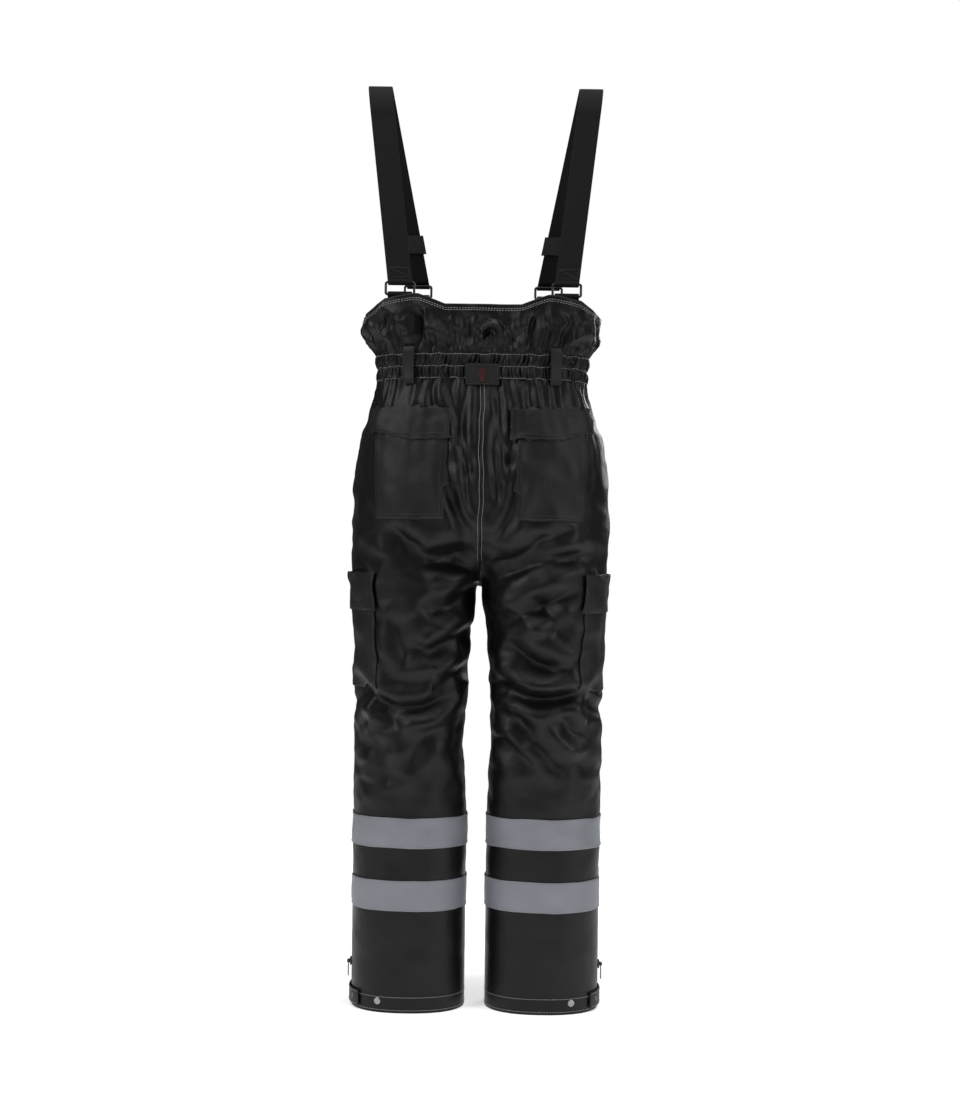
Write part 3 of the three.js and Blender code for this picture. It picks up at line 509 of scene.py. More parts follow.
# Folds: x and z at the start, middle and end, half-width, depth, and which face (1 back, -1 front, 0 both)
FOLDS = [
    # left leg, behind: the knee, the inner thigh, and the drag from the pocket
    (0.190, 0.540, 0.115, 0.500, 0.020, 0.540, 0.0070, 0.0105, 1),
    (0.172, 0.503, 0.150, 0.490, 0.120, 0.464, 0.0075, 0.0070, 1),
    (0.002, 0.712, 0.045, 0.668, 0.100, 0.672, 0.0085, 0.0085, 1),
    (0.010, 0.640, 0.075, 0.597, 0.108, 0.618, 0.0080, 0.0080, 1),
    (0.150, 0.800, 0.105, 0.735, 0.070, 0.668, 0.0100, 0.0050, 1),
    (0.078, 0.536, 0.050, 0.545, 0.018, 0.575, 0.0070, 0.0070, 1),
    (0.150, 0.655, 0.125, 0.615, 0.120, 0.560, 0.0085, 0.0060, 1),
    (0.105, 0.760, 0.060, 0.745, 0.008, 0.765, 0.0090, 0.0070, 1),
    (0.060, 0.470, 0.100, 0.440, 0.110, 0.395, 0.0090, 0.0050, 1),
    (0.170, 0.455, 0.150, 0.410, 0.150, 0.370, 0.0090, 0.0045, 1),
    # right leg, behind: level drags across the thigh, then long falls below the knee
    (-0.010, 0.712, -0.100, 0.742, -0.190, 0.758, 0.0085, 0.0090, 1),
    (-0.020, 0.640, -0.100, 0.668, -0.165, 0.700, 0.0080, 0.0075, 1),
    (-0.045, 0.618, -0.090, 0.578, -0.155, 0.568, 0.0085, 0.0095, 1),
    (-0.020, 0.545, -0.100, 0.518, -0.178, 0.536, 0.0070, 0.0100, 1),
    (-0.056, 0.508, -0.095, 0.450, -0.152, 0.396, 0.0085, 0.0070, 1),
    (-0.034, 0.458, -0.065, 0.430, -0.108, 0.390, 0.0085, 0.0060, 1),
    (-0.080, 0.690, -0.120, 0.650, -0.125, 0.615, 0.0085, 0.0060, 1),
    (-0.130, 0.505, -0.155, 0.470, -0.180, 0.460, 0.0080, 0.0055, 1),
    (-0.030, 0.500, -0.060, 0.480, -0.080, 0.440, 0.0080, 0.0055, 1),
    (-0.110, 0.790, -0.070, 0.755, -0.020, 0.745, 0.0090, 0.0060, 1),
    # pleats that fall from the waistband beside the seat seam
    (0.056, 1.036, 0.042, 0.980, 0.040, 0.930, 0.0060, 0.0060, 1),
    (0.030, 1.034, 0.032, 0.950, 0.020, 0.880, 0.0065, 0.0075, 1),
    (0.014, 0.935, 0.020, 0.870, 0.012, 0.815, 0.0060, 0.0060, 1),
    (-0.030, 1.036, -0.034, 0.960, -0.046, 0.895, 0.0065, 0.0080, 1),
    (-0.046, 1.032, -0.052, 0.950, -0.038, 0.870, 0.0060, 0.0065, 1),
    (-0.018, 0.985, -0.023, 0.900, -0.030, 0.830, 0.0060, 0.0065, 1),
    (0.062, 0.900, 0.046, 0.830, 0.016, 0.772, 0.0080, 0.0075, 1),
    (-0.062, 0.880, -0.050, 0.820, -0.022, 0.775, 0.0080, 0.0080, 1),
    (0.046, 0.870, 0.034, 0.820, 0.012, 0.790, 0.0070, 0.0060, 1),
    (0.084, 1.036, 0.082, 1.010, 0.074, 0.985, 0.0060, 0.0055, 1),
    (-0.080, 1.036, -0.078, 1.010, -0.086, 0.985, 0.0060, 0.0055, 1),
    (0.150, 0.805, 0.120, 0.775, 0.090, 0.770, 0.0080, 0.0060, 1),
    (-0.150, 0.800, -0.120, 0.782, -0.085, 0.770, 0.0080, 0.0060, 1),
    # front: over the thighs, behind the knees' line, and beside the fly
    (0.012, 0.765, 0.080, 0.780, 0.165, 0.812, 0.0090, 0.0085, -1),
    (-0.012, 0.768, -0.085, 0.785, -0.165, 0.805, 0.0090, 0.0085, -1),
    (0.015, 0.735, 0.080, 0.715, 0.150, 0.735, 0.0090, 0.0070, -1),
    (-0.015, 0.740, -0.075, 0.712, -0.150, 0.722, 0.0090, 0.0070, -1),
    (0.030, 0.545, 0.100, 0.515, 0.185, 0.545, 0.0085, 0.0085, -1),
    (-0.030, 0.550, -0.100, 0.525, -0.180, 0.520, 0.0085, 0.0085, -1),
    (0.040, 0.480, 0.090, 0.495, 0.150, 0.470, 0.0085, 0.0060, -1),
    (-0.045, 0.470, -0.100, 0.490, -0.160, 0.480, 0.0085, 0.0060, -1),
    (0.040, 0.640, 0.090, 0.610, 0.150, 0.620, 0.0085, 0.0055, -1),
    (-0.040, 0.630, -0.080, 0.605, -0.150, 0.630, 0.0085, 0.0055, -1),
    (0.060, 1.034, 0.056, 0.980, 0.070, 0.930, 0.0060, 0.0060, -1),
    (-0.060, 1.034, -0.055, 0.975, -0.072, 0.925, 0.0060, 0.0060, -1),
    (0.030, 1.034, 0.034, 0.970, 0.028, 0.900, 0.0060, 0.0050, -1),
    (-0.032, 1.034, -0.036, 0.970, -0.030, 0.905, 0.0060, 0.0050, -1),
    # sides: into the waist, and at the knee
    (0.192, 0.960, 0.180, 0.995, 0.165, 1.034, 0.0080, 0.0050, 0),
    (-0.192, 0.955, -0.180, 0.995, -0.165, 1.034, 0.0080, 0.0050, 0),
    (0.200, 0.560, 0.190, 0.530, 0.205, 0.500, 0.0080, 0.0060, 0),
    (-0.200, 0.550, -0.188, 0.520, -0.205, 0.490, 0.0080, 0.0060, 0),
]

# The same on the back bib, beside the suspenders and round the pucker at the middle
BIB_FOLDS = [
    (0.106, 1.150, 0.103, 1.120, 0.108, 1.084, 0.0060, 0.0060, 1),
    (0.166, 1.150, 0.172, 1.120, 0.165, 1.086, 0.0065, 0.0060, 1),
    (0.036, 1.152, 0.028, 1.125, 0.034, 1.090, 0.0090, 0.0060, 1),
    (0.010, 1.122, -0.016, 1.138, -0.044, 1.116, 0.0050, 0.0050, 1),
    (-0.034, 1.086, -0.052, 1.103, -0.068, 1.126, 0.0055, 0.0055, 1),
    (-0.079, 1.086, -0.080, 1.118, -0.092, 1.152, 0.0065, 0.0068, 1),
    (-0.124, 1.086, -0.138, 1.115, -0.147, 1.150, 0.0065, 0.0060, 1),
    (-0.150, 1.086, -0.160, 1.098, -0.176, 1.110, 0.0055, 0.0050, 1),
    (0.098, 1.122, 0.070, 1.116, 0.046, 1.096, 0.0070, -0.0050, 1),
    (0.150, 1.136, 0.132, 1.130, 0.118, 1.145, 0.0070, -0.0040, 1),
    (0.078, 1.086, 0.082, 1.100, 0.072, 1.108, 0.0050, 0.0045, 1),
    (0.135, 1.086, 0.140, 1.105, 0.132, 1.122, 0.0055, 0.0050, 1),
    (-0.104, 1.086, -0.106, 1.104, -0.114, 1.126, 0.0055, 0.0048, 1),
    (-0.004, 1.106, -0.012, 1.120, -0.024, 1.112, 0.0040, 0.0040, 1),
    (0.004, 1.100, -0.010, 1.090, -0.026, 1.100, 0.0040, 0.0038, 1),
    (0.052, 1.086, 0.058, 1.098, 0.062, 1.112, 0.0055, 0.0045, 1),
    (0.060, 1.140, 0.090, 1.086, 0.120, 1.086, 0.0065, 0.0055, -1),
    (0.040, 1.165, 0.046, 1.120, 0.040, 1.086, 0.0075, 0.0060, -1),
    (0.085, 1.170, 0.080, 1.130, 0.088, 1.086, 0.0080, 0.0060, -1),
    (0.128, 1.165, 0.130, 1.125, 0.122, 1.086, 0.0080, 0.0060, -1),
    (0.160, 1.150, 0.155, 1.120, 0.148, 1.086, 0.0065, 0.0055, -1),
]

# Long soft edges down the back of the legs: x, height at the top, reach to each side, rise
LEG_EDGES = [(0.075, 0.560, 0.050, 0.0042), (-0.143, 0.520, 0.050, 0.0042)]


LEG_FOLD_TOP = 0.82       # folds that start below this height are the legs' own
LEG_FOLD_WIDER = 1.45     # how much wider than the table those are
LEG_FOLD_DEEPER = 1.35    # and how much deeper


def fold_depth(points, folds=FOLDS):
    """How far each point sinks: a sharp valley along each fold's curve, with a soft swell on both sides."""
    sink = np.zeros(len(points))
    flat = points[:, [0, 2]]
    t = np.linspace(0, 1, 65)[:, None]
    for x0, z0, x1, z1, x2, z2, width, depth, face in folds:
        if z0 < LEG_FOLD_TOP:
            width, depth = LEG_FOLD_WIDER * width, LEG_FOLD_DEEPER * depth
        start, middle, end = np.array([[x0, z0], [x1, z1], [x2, z2]])
        pull = 2 * middle - (start + end) / 2
        curve = start * (1 - t) ** 2 + 2 * pull * t * (1 - t) + end * t ** 2
        near = np.abs(flat - curve.mean(0)).max(1) < np.abs(curve - curve.mean(0)).max() + 6 * width
        away = np.linalg.norm(flat[near, None] - curve[None], axis=2)
        nearest = away.argmin(1)
        along = nearest / 64
        level = away.min(1) / width
        ends = np.clip(np.minimum(along, 1 - along) * 4.0, 0, 1) ** 0.7
        facing = 1.0 if face == 0 else 1 / (1 + np.exp(-face * points[near, 1] / 0.010))
        valley = np.exp(-level ** 1.5) - 0.5 * np.exp(-((level - 2.3) / 1.2) ** 2)
        sink[near] += depth * valley * ends * facing
    return sink * cloth().crease


def leg_edge_rise(points):
    """How far each point stands out: a tent either side of each long edge, fading in towards the knee."""
    x, y, z = points.T
    rise = np.zeros(len(points))
    for centre, top, reach, height in LEG_EDGES:
        tent = np.clip(1 - np.abs(x - centre - 0.012 * (z / top)) / reach, 0, 1)
        lengthwise = np.clip((top - z) / 0.08, 0, 1) * np.clip((z - 0.035) / 0.05, 0, 1)
        rise += height * tent * lengthwise / (1 + np.exp(-y / 0.010))
    return rise


def crumple(points, seed, length):
    """Sharp-edged rumples: one minus the size of a smooth noise, which leaves thin ridges between soft hollows."""
    return 0.35 - np.abs(wave_noise(points, seed, length)) * 0.62


def gather_wave(turn, seed, count):
    """Uneven gathers round the waist: three sine waves of nearby rates in seeded phases."""
    draw = np.random.default_rng(seed)
    rates = np.array([count, round(count * 1.37), round(count * 0.61)])
    return sum(w * np.sin(rate * turn + p) for w, rate, p in zip((0.6, 0.45, 0.35), rates, draw.uniform(0, 6.28, 3)))


def cut_flat(piece, bottom, top):
    """Cuts a skin off level at two heights and leaves both ends open."""
    shape = bmesh.new()
    shape.from_mesh(piece.data)
    for height, outwards in ((bottom, -1), (top, 1)):
        geometry = [*shape.verts, *shape.edges, *shape.faces]
        bmesh.ops.bisect_plane(
            shape, geom=geometry, plane_co=(0, 0, height), plane_no=(0, 0, outwards), clear_outer=True)
    shape.to_mesh(piece.data)
    shape.free()
    piece.data.update()


SHELL = {}


FLY_LIE_HALF = 9 * MM     # half the width of the hollow under the fly zip
LEG_LIE_HALF = 8 * MM     # the same under a leg zip
LIE_FADE = 3 * MM         # how softly a hollow ends
LIE_DEPTH = 2.2 * MM


def zip_lie(points):
    """How far the cloth lies back under the zips: a flat-topped bell across each tape, faded out past its ends."""
    sunk = np.zeros(len(points))
    x, y, z = points.T
    low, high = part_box("fly_zip_tape")
    across = np.exp(-(x / FLY_LIE_HALF) ** 4) * (y < 0)
    sunk += across / (1 + np.exp((low[2] + 6 * MM - z) / LIE_FADE))
    for side, hand in SIDES:
        low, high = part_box(f"leg_zip_tape_{hand}")
        across = np.exp(-(y / LEG_LIE_HALF) ** 4) * (x * side > LEG_X)
        along = 1 / (1 + np.exp((low[2] - z) / LIE_FADE)) / (1 + np.exp((z - high[2]) / LIE_FADE))
        sunk += across * along
    return sunk * LIE_DEPTH


def wrinkled(piece):
    """Sinks the folds, ripples the cloth and gathers it under the waistband."""
    points, normals = points_of(piece), normals_of(piece)
    turn = np.arctan2(points[:, 1] / 0.12, points[:, 0] / 0.18)
    z = points[:, 2]
    under_waist = np.exp(-((WAIST - z) / 0.055) ** 1.0 * (z < WAIST)) * (z > 0.86)
    gathers = gather_wave(turn, 3, 47) * under_waist * cloth().gather
    ripple = wave_noise(points, 11, (0.09, 0.09, 0.05)) * 1.5 * MM
    crinkle = wave_noise(points, 12, (0.035, 0.035, 0.022)) * 0.45 * MM
    calm = 1 / (1 + np.exp((z - 0.33) / 0.03))
    free = (1 - 0.72 * calm) * np.clip((z - 0.035) / 0.05, 0, 1)
    thighs = np.exp(-((z - 0.60) / 0.17) ** 2)
    rumple = crumple(points, 21, (0.13, 0.13, 0.085)) * (2.2 + 3.8 * thighs) * MM
    rumple += crumple(points, 22, (0.055, 0.055, 0.038)) * (0.9 + 1.4 * thighs) * MM
    seam = np.clip(np.abs(points[:, 0]) / 0.03, 0.25, 1)
    fly = 1 - np.exp(-(points[:, 0] / (16 * MM)) ** 4) * (points[:, 1] < 0) * (z > 0.74)
    move = -fold_depth(points) * fly + leg_edge_rise(points) + (ripple + crinkle + rumple * seam) * free * fly
    move += gathers * fly - zip_lie(points)
    put_points(piece, points + normals * move[:, None])


def half_of(skin, name, side):
    """The half of a skin on one side of the middle seam, with its faces cut there."""
    piece = skin.copy()
    piece.data = skin.data.copy()
    piece.name = name
    bpy.context.scene.collection.objects.link(piece)
    shape = bmesh.new()
    shape.from_mesh(piece.data)
    geometry = [*shape.verts, *shape.edges, *shape.faces]
    bmesh.ops.bisect_plane(shape, geom=geometry, plane_co=(0, 0, 0), plane_no=(-side, 0, 0), clear_outer=True)
    shape.to_mesh(piece.data)
    shape.free()
    piece.data.update()
    return piece


def make_shell():
    """The outer shell: one skin of cloth, folded, cut at hem and waist, halved at the middle seam, given a wall."""
    skin = rough_form("trouser_skin", 0.0)
    wrinkled(skin)
    cut_flat(skin, 0.0005, WAIST + 1.5 * MM)
    bpy.context.scene.collection.objects.unlink(skin)
    SHELL["skin"] = skin
    for side, hand in SIDES:
        half = half_of(skin, f"trouser_shell_{hand}", side)
        modify(half, "SOLIDIFY", thickness=2.6 * MM, offset=-1, use_even_offset=False)
        settle(half)
        done(half, "trousers", "shell_cloth", f"front_panel_{hand}", f"back_panel_{hand}")


def make_lining():
    """The quilted lining: the shell's form again, coarser and a few millimetres in, short of the hem."""
    lining = rough_form("quilted_lining", -3 * MM, 2.2)
    points, normals = points_of(lining), normals_of(lining)
    put_points(lining, points - normals * (fold_depth(points) - leg_edge_rise(points))[:, None])
    points, normals = points_of(lining), normals_of(lining)
    turn = np.arctan2(points[:, 1], points[:, 0] - np.sign(points[:, 0]) * LEG_X)
    quilt = np.abs(np.sin(turn * 5 + points[:, 2] * 32)) * np.abs(np.sin(turn * 5 - points[:, 2] * 32))
    put_points(lining, points - normals * (5.6 * MM - 1.4 * MM * quilt ** 0.5)[:, None])
    lining.data.materials[0] = finish_of("lining")
    cut_flat(lining, 0.018, WAIST - 2 * MM)
    modify(lining, "SOLIDIFY", thickness=1.2 * MM, offset=-1, use_even_offset=False)
    settle(lining)
    done(lining, "trousers", "lining", "lining_left", "lining_right")


# ------------------------------------------------------------------ waistband and bib

def band_relief(turn, height):
    """The waistband's skin: two puffed, gathered channels between three stitched rows."""
    level = (height - WAIST) / (BAND_TOP - WAIST)
    channel = np.abs(np.sin(np.pi * 2 * level)) ** 0.6
    place = bearing(turn, height)
    gather = gather_wave(place + 0.02 * np.sin(5 * level), 5, 71) * 0.9 + gather_wave(place, 6, 113) * 0.5
    pinched = 0.7 - np.abs(gather) * 1.3
    return (1.8 * channel + pinched * (0.7 + 4.2 * channel)) * MM


def torso_strip(name, turns, heights, relief, finish, thickness, grow=0.0):
    """A strip of the torso's skin with its own relief, given a wall inwards."""
    turn, height = np.broadcast_arrays(turns, heights)
    points = torso_points(turn, height, grow)
    out = points[..., :2] / np.linalg.norm(points[..., :2] / np.array([1, 0.75]), axis=-1)[..., None]
    points[..., :2] += out * relief[..., None]
    piece = surface(name, points, finish)
    modify(piece, "SOLIDIFY", thickness=thickness, offset=-1, use_even_offset=False)
    return settle(piece)


FRONT_GAP = 0.0052             # half the slot that the fly zip fills
SIDE_SEAM = 1e-6               # turn from the side seam at which a bib starts


def even_turns(start, end, count, height):
    """Turns between two bearings at even steps of length round the torso at one height."""
    turn = np.linspace(start, end, 20000)
    points = torso_points(turn, np.full_like(turn, height))
    length = np.concatenate([[0], np.cumsum(np.linalg.norm(np.diff(points, axis=0), axis=1))])
    return np.interp(np.linspace(0, length[-1], count), length, turn)


def open_turns(count):
    """Turns right round from one side of the fly to the other."""
    edge = (FRONT_GAP / 0.172) ** 1.5
    return even_turns(-np.pi / 2 + edge, 1.5 * np.pi - edge, count, 1.06)


def bearing(turn, height):
    """The compass bearing of a point of the torso, in radians, which runs evenly along its flat sides."""
    points = torso_points(turn, height)
    return np.unwrap(np.arctan2(points[..., 1] / 0.12, points[..., 0] / 0.18), axis=-1)


def make_waistband():
    """The waistband, open at the fly."""
    turn, height = np.meshgrid(open_turns(900), np.linspace(WAIST, BAND_TOP, 27))
    band = torso_strip("gathered_waistband", turn, height, band_relief(turn, height), "shell_cloth", 3.2 * MM)
    done(band, "trousers", "shell_cloth", "waistband", "waist_elastic_lower", "waist_elastic_upper")


def bib_relief(turn, height, top):
    """Gathers that start deep at the waistband and open out towards the top edge."""
    level = np.clip((height - BAND_TOP) / (top - BAND_TOP), 0, 1)
    place = bearing(turn, height)
    deep = (0.6 - np.abs(gather_wave(place, 8, 67)) * 1.4) * (1 - level) ** 1.5 * 3.0
    swell = (0.8 + 1.4 * level) * np.sin(np.pi * np.clip(level, 0, 0.85))
    loose = gather_wave(place + 0.10 * level, 9, 23) * swell * 3.4
    points = torso_points(turn, height)
    rumple = crumple(points.reshape(-1, 3), 31, (0.085, 0.085, 0.06)).reshape(turn.shape) * 8.5
    rumple += crumple(points.reshape(-1, 3), 32, (0.040, 0.040, 0.030)).reshape(turn.shape) * 3.0
    off = np.hypot(points[..., 0] + 0.012, points[..., 2] - 1.108)
    swirl = 3.4 * np.cos(off / 0.0026) * np.exp(-(off / 0.024) ** 2) * (points[..., 1] > 0)
    between = np.sin(np.pi * np.clip(level, 0.02, 0.97)) ** 0.5 * np.clip(np.abs(points[..., 1]) / 0.03, 0, 1)
    sink = fold_depth(points.reshape(-1, 3), BIB_FOLDS).reshape(turn.shape)
    return ((deep + loose + rumple + swirl) * MM - sink * 1.3) * between


def back_edge(x):
    """Height of the back bib's top edge: level at the middle, a rise under each suspender, low at the sides."""
    sides = np.abs(x)
    places = np.array([0, 0.062, 0.090, 0.106, 0.118, 0.160, 0.192, 0.21])
    rises = np.array([0, 0.0, 0.011, 0.0165, 0.016, 0.009, -0.013, -0.020])
    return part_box("back_bib")[1][2] - 0.013 + np.interp(sides, places, rises)


def make_bib():
    """Back and front bib: strips of the torso's skin trimmed to their top edges."""
    turn = even_turns(SIDE_SEAM, np.pi - SIDE_SEAM, 520, 1.14)
    x = torso_points(turn, np.full_like(turn, 1.16))[:, 0]
    top = back_edge(x)
    level = np.linspace(0, 1, 44)[:, None]
    height = BAND_TOP + (top - BAND_TOP) * level
    turns = np.broadcast_to(turn, height.shape)
    back = torso_strip("back_bib_cloth", turns, height, bib_relief(turns, height, top), "shell_cloth", 2.4 * MM)
    done(back, "trousers", "shell_cloth", "back_bib")
    side_top = back_edge(np.array([0.197]))[0]
    for side, hand in SIDES:
        edge = (FRONT_GAP / 0.195) ** 2
        turn = even_turns(-np.pi / 2 + edge, -SIDE_SEAM, 280, 1.14)
        x = torso_points(turn, np.full_like(turn, 1.17))[:, 0]
        top = FRONT_TOP + (side_top - FRONT_TOP) * np.clip((x - 0.135) / 0.06, 0, 1) ** 1.4
        height = BAND_TOP + (top - BAND_TOP) * level
        turns = np.broadcast_to(turn, height.shape)
        relief = bib_relief(turns, height, top) * np.clip((x - 0.012) / 0.03, 0, 1)
        points = torso_points(turns, height)
        out = points[..., :2] / np.linalg.norm(points[..., :2], axis=-1)[..., None]
        points[..., :2] += out * relief[..., None]
        points[..., 0] *= side
        piece = surface(f"front_bib_cloth_{hand}", points, "shell_cloth", flip=side < 0)
        modify(piece, "SOLIDIFY", thickness=2.4 * MM, offset=-1, use_even_offset=False)
        settle(piece)
        done(piece, "trousers", "shell_cloth", f"front_bib_{hand}")


# ------------------------------------------------------------------ pieces laid on the shell

def panel_grid(left, right, rows=60, columns=60):
    """A flat four-sided panel: [across, height] at the foot and head of its left and right edges."""
    (left_foot, left_head), (right_foot, right_head) = left, right
    u = np.linspace(0, 1, columns)[None, :, None]
    v = np.linspace(0, 1, rows)[:, None, None]
    left_edge = np.array(left_foot) + (np.array(left_head) - left_foot) * v
    right_edge = np.array(right_foot) + (np.array(right_head) - right_foot) * v
    return left_edge + (right_edge - left_edge) * u


def round_torso(flat, side, facing):
    """A flat panel bent round the torso: where the squared ellipse at that height has that width."""
    half, back, front, _, square = stations(TORSO, flat[..., 1])
    reach = np.clip(np.abs(flat[..., 0]) / half, 0, 0.995)
    depth = (back if facing > 0 else front) + 8 * MM
    out = facing * depth * (1 - reach ** square) ** (1 / square)
    return np.stack([side * flat[..., 0] * 1.02, out, flat[..., 1]], -1)


def from_behind(flat, side):
    """A flat panel bent round the back of the torso, mirrored for the right-hand side."""
    return round_torso(flat, side, 1)


def from_side(flat, side):
    """A flat panel wrapped round the outside of a leg: where the leg's squared ellipse has that depth."""
    centre, half, depth = stations(LEG, flat[..., 1])
    reach = np.clip(np.abs(flat[..., 0]) / depth, 0, 0.995)
    x = centre + (half + 8 * MM) * (1 - reach ** LEG_SQUARE) ** (1 / LEG_SQUARE)
    return np.stack([side * x, flat[..., 0] * 1.02, flat[..., 1]], -1)


def drop_on(points, axis, target, offset):
    """Where a grid lands when it is carried along an axis onto a target, or to the nearest part of it."""
    probe = surface("probe", points, "shell_cloth")
    if axis:
        lay_on(probe, target, offset, "PROJECT", axis)
    else:
        lay_on(probe, target, offset)
    landed = points_of(probe).reshape(points.shape)
    bpy.data.objects.remove(probe)
    return landed


def outward(points):
    """Which way each point of a laid grid faces, level, away from its neighbours' plane."""
    across = np.gradient(points, axis=1)
    up = np.gradient(points, axis=0)
    normal = np.cross(across, up)
    normal /= np.linalg.norm(normal, axis=-1)[..., None] + 1e-12
    away = np.sign((normal * points * np.array([1, 1, 0])).sum(-1).mean())
    return normal * away


def smoothed(points, times):
    """A grid averaged with its neighbours, edges held."""
    for _ in range(times):
        inner = (points[:-2, 1:-1] + points[2:, 1:-1] + points[1:-1, :-2] + points[1:-1, 2:]) / 4
        points[1:-1, 1:-1] = inner
    return points


def rim(rows, columns, width):
    """Rises from 0 at the edges of a grid to 1 at the given share of its size."""
    u = np.linspace(0, 1, columns)[None, :]
    v = np.linspace(0, 1, rows)[:, None]
    edge = np.minimum(np.minimum(u, 1 - u), np.minimum(v, 1 - v))
    return np.clip(edge / width, 0, 1)


def patch_piece(name, flat, view, side, puff, lift, thickness, finish, seed):
    """A sewn patch: laid on the shell, crowned between its edges, lightly creased, given a wall."""
    points = drop_on(view(flat, side), None, SHELL["skin"], 0.6 * MM)
    points = smoothed(points, 6)
    rows, columns = flat.shape[:2]
    crown = rim(rows, columns, 0.16) ** 0.6
    ripple = wave_noise(points.reshape(-1, 3), seed, 0.05).reshape(rows, columns) * 0.7 * MM
    points = points + outward(points) * (lift + puff * crown + ripple * crown)[..., None]
    piece = surface(name, points, finish)
    facing = normals_of(piece).reshape(points.shape)
    if (facing * outward(points)).sum() < 0:
        piece.data.flip_normals()
    modify(piece, "SOLIDIFY", thickness=thickness, offset=-1, use_even_offset=False)
    modify(piece, "BEVEL", width=0.35 * MM, segments=2, limit_method="ANGLE", angle_limit=1.0)
    settle(piece)
    return piece, points


STITCH = {"long": 3.2 * MM, "gap": 1.5 * MM, "wide": 0.9 * MM, "tall": 0.6 * MM}


def stitches(name, rows, body, finish="light_thread", target=None):
    """Rows of thread: a low six-sided dash every few millimetres along each row of points."""
    corners, faces, count = [], [], 0
    pitch = STITCH["long"] + STITCH["gap"]
    for row in rows:
        row = np.asarray(row, float)
        steps = np.linalg.norm(np.diff(row, axis=0), axis=1)
        total = np.concatenate([[0], np.cumsum(steps)])
        number = int(total[-1] / pitch)
        if number < 1:
            continue
        starts = np.arange(number) * pitch
        mark = np.stack([starts, starts + STITCH["long"] / 2, starts + STITCH["long"]], 1)
        middle = np.stack([np.interp(mark, total, row[:, k]) for k in range(3)], -1)
        along = middle[:, 2] - middle[:, 0]
        along /= np.linalg.norm(along, axis=1)[:, None] + 1e-12
        away = middle[:, 1] * np.array([1, 1, 0])
        away /= np.linalg.norm(away, axis=1)[:, None] + 1e-12
        sidewards = np.cross(along, away)
        sidewards /= np.linalg.norm(sidewards, axis=1)[:, None] + 1e-12
        out = np.cross(sidewards, along)
        out *= np.sign((out * away).sum(1))[:, None]
        half, tall = STITCH["wide"] / 2, STITCH["tall"]
        for k, (swell, rise) in enumerate(((0.7, 0.15), (1.0, 1.0), (0.7, 0.15))):
            for across, up in ((-1, 0), (-0.6, 1), (0.6, 1), (1, 0)):
                offset = sidewards * (across * half * swell) + out * (up * tall * rise - 0.12 * MM)
                corners.append(middle[:, k] + offset)
        block = np.arange(number)[:, None]
        order = [(k * 4 + i, k * 4 + (i + 1) % 4, (k + 1) * 4 + (i + 1) % 4, (k + 1) * 4 + i)
                 for k in range(2) for i in range(4)]
        order += [(3, 2, 1, 0), (8, 9, 10, 11)]
        stack = np.stack(corners[-12:], 1).reshape(-1, 3)
        corners = corners[:-12]
        corners.append(stack)
        faces.append((np.array(order)[None] + (block * 12)[:, :, None] + count).reshape(-1, 4))
        count += number * 12
    points = np.concatenate([c.reshape(-1, 3) for c in corners])
    piece = new_piece(name, points, np.concatenate(faces), finish)
    done(piece, body, "webbing")
    return piece


def inset_rows(points, margins, edges=("left", "foot", "right")):
    """Rows that run inside a laid grid's edges: each margin is a share of its size."""
    rows, columns = points.shape[:2]
    out = []
    for margin_u, margin_v in margins:
        left, right = int(margin_u * columns), columns - 1 - int(margin_u * columns)
        foot, head = int(margin_v * rows), rows - 1 - int(margin_v * rows)
        path = {
            "left": points[foot:head + 1, left][::-1], "foot": points[foot, left:right + 1],
            "right": points[foot:head + 1, right], "head": points[head, left:right + 1][::-1]}
        out += [path[edge] for edge in edges]
    return out


def make_back_pockets():
    """Two back patch pockets with hinged flaps."""
    for side, hand in SIDES:
        low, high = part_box("back_pocket_left")
        inner, outer = low[0], high[0]
        flat = panel_grid(((outer - 0.003, low[2]), (outer, high[2])), ((inner + 0.004, low[2]), (inner, high[2])))
        name = f"back_pocket_cloth_{hand}"
        piece, points = patch_piece(
            name, flat, from_behind, side, 2.2 * MM, 1.8 * MM, 1.6 * MM, "pocket_cloth", 20 + side)
        done(piece, "trousers", "pocket_cloth", f"back_pocket_{hand}")
        stitches(f"back_pocket_stitches_{hand}", inset_rows(points, ((0.025, 0.02), (0.07, 0.055))),
                 "trousers", "dark_thread")
        low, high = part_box("back_pocket_flap_left")
        top, foot = high[2], low[2]
        rows = columns = 60
        flat = panel_grid(((high[0] - 0.001, foot + 0.020), (high[0] - 0.002, top)),
                          ((low[0] + 0.001, foot + 0.006), (low[0], top - 0.005)), rows, columns)
        u = np.linspace(0, 1, columns)[None, :]
        v = np.linspace(0, 1, rows)[:, None]
        flat[..., 1] -= (1 - v) * 0.0075 * np.exp(-((u - 0.45) / 0.28) ** 2)
        piece, points = patch_piece(
            f"back_flap_cloth_{hand}", flat, from_behind, side, 1.2 * MM, 6.0 * MM, 1.6 * MM, "pocket_cloth", 30 + side)
        done(piece, f"back_flap_{hand}", "pocket_cloth", f"back_pocket_flap_{hand}")
        stitches(f"back_flap_stitches_{hand}",
                 inset_rows(points, ((0.03, 0.06), (0.075, 0.17)), ("left", "foot", "right")),
                 f"back_flap_{hand}", "dark_thread")


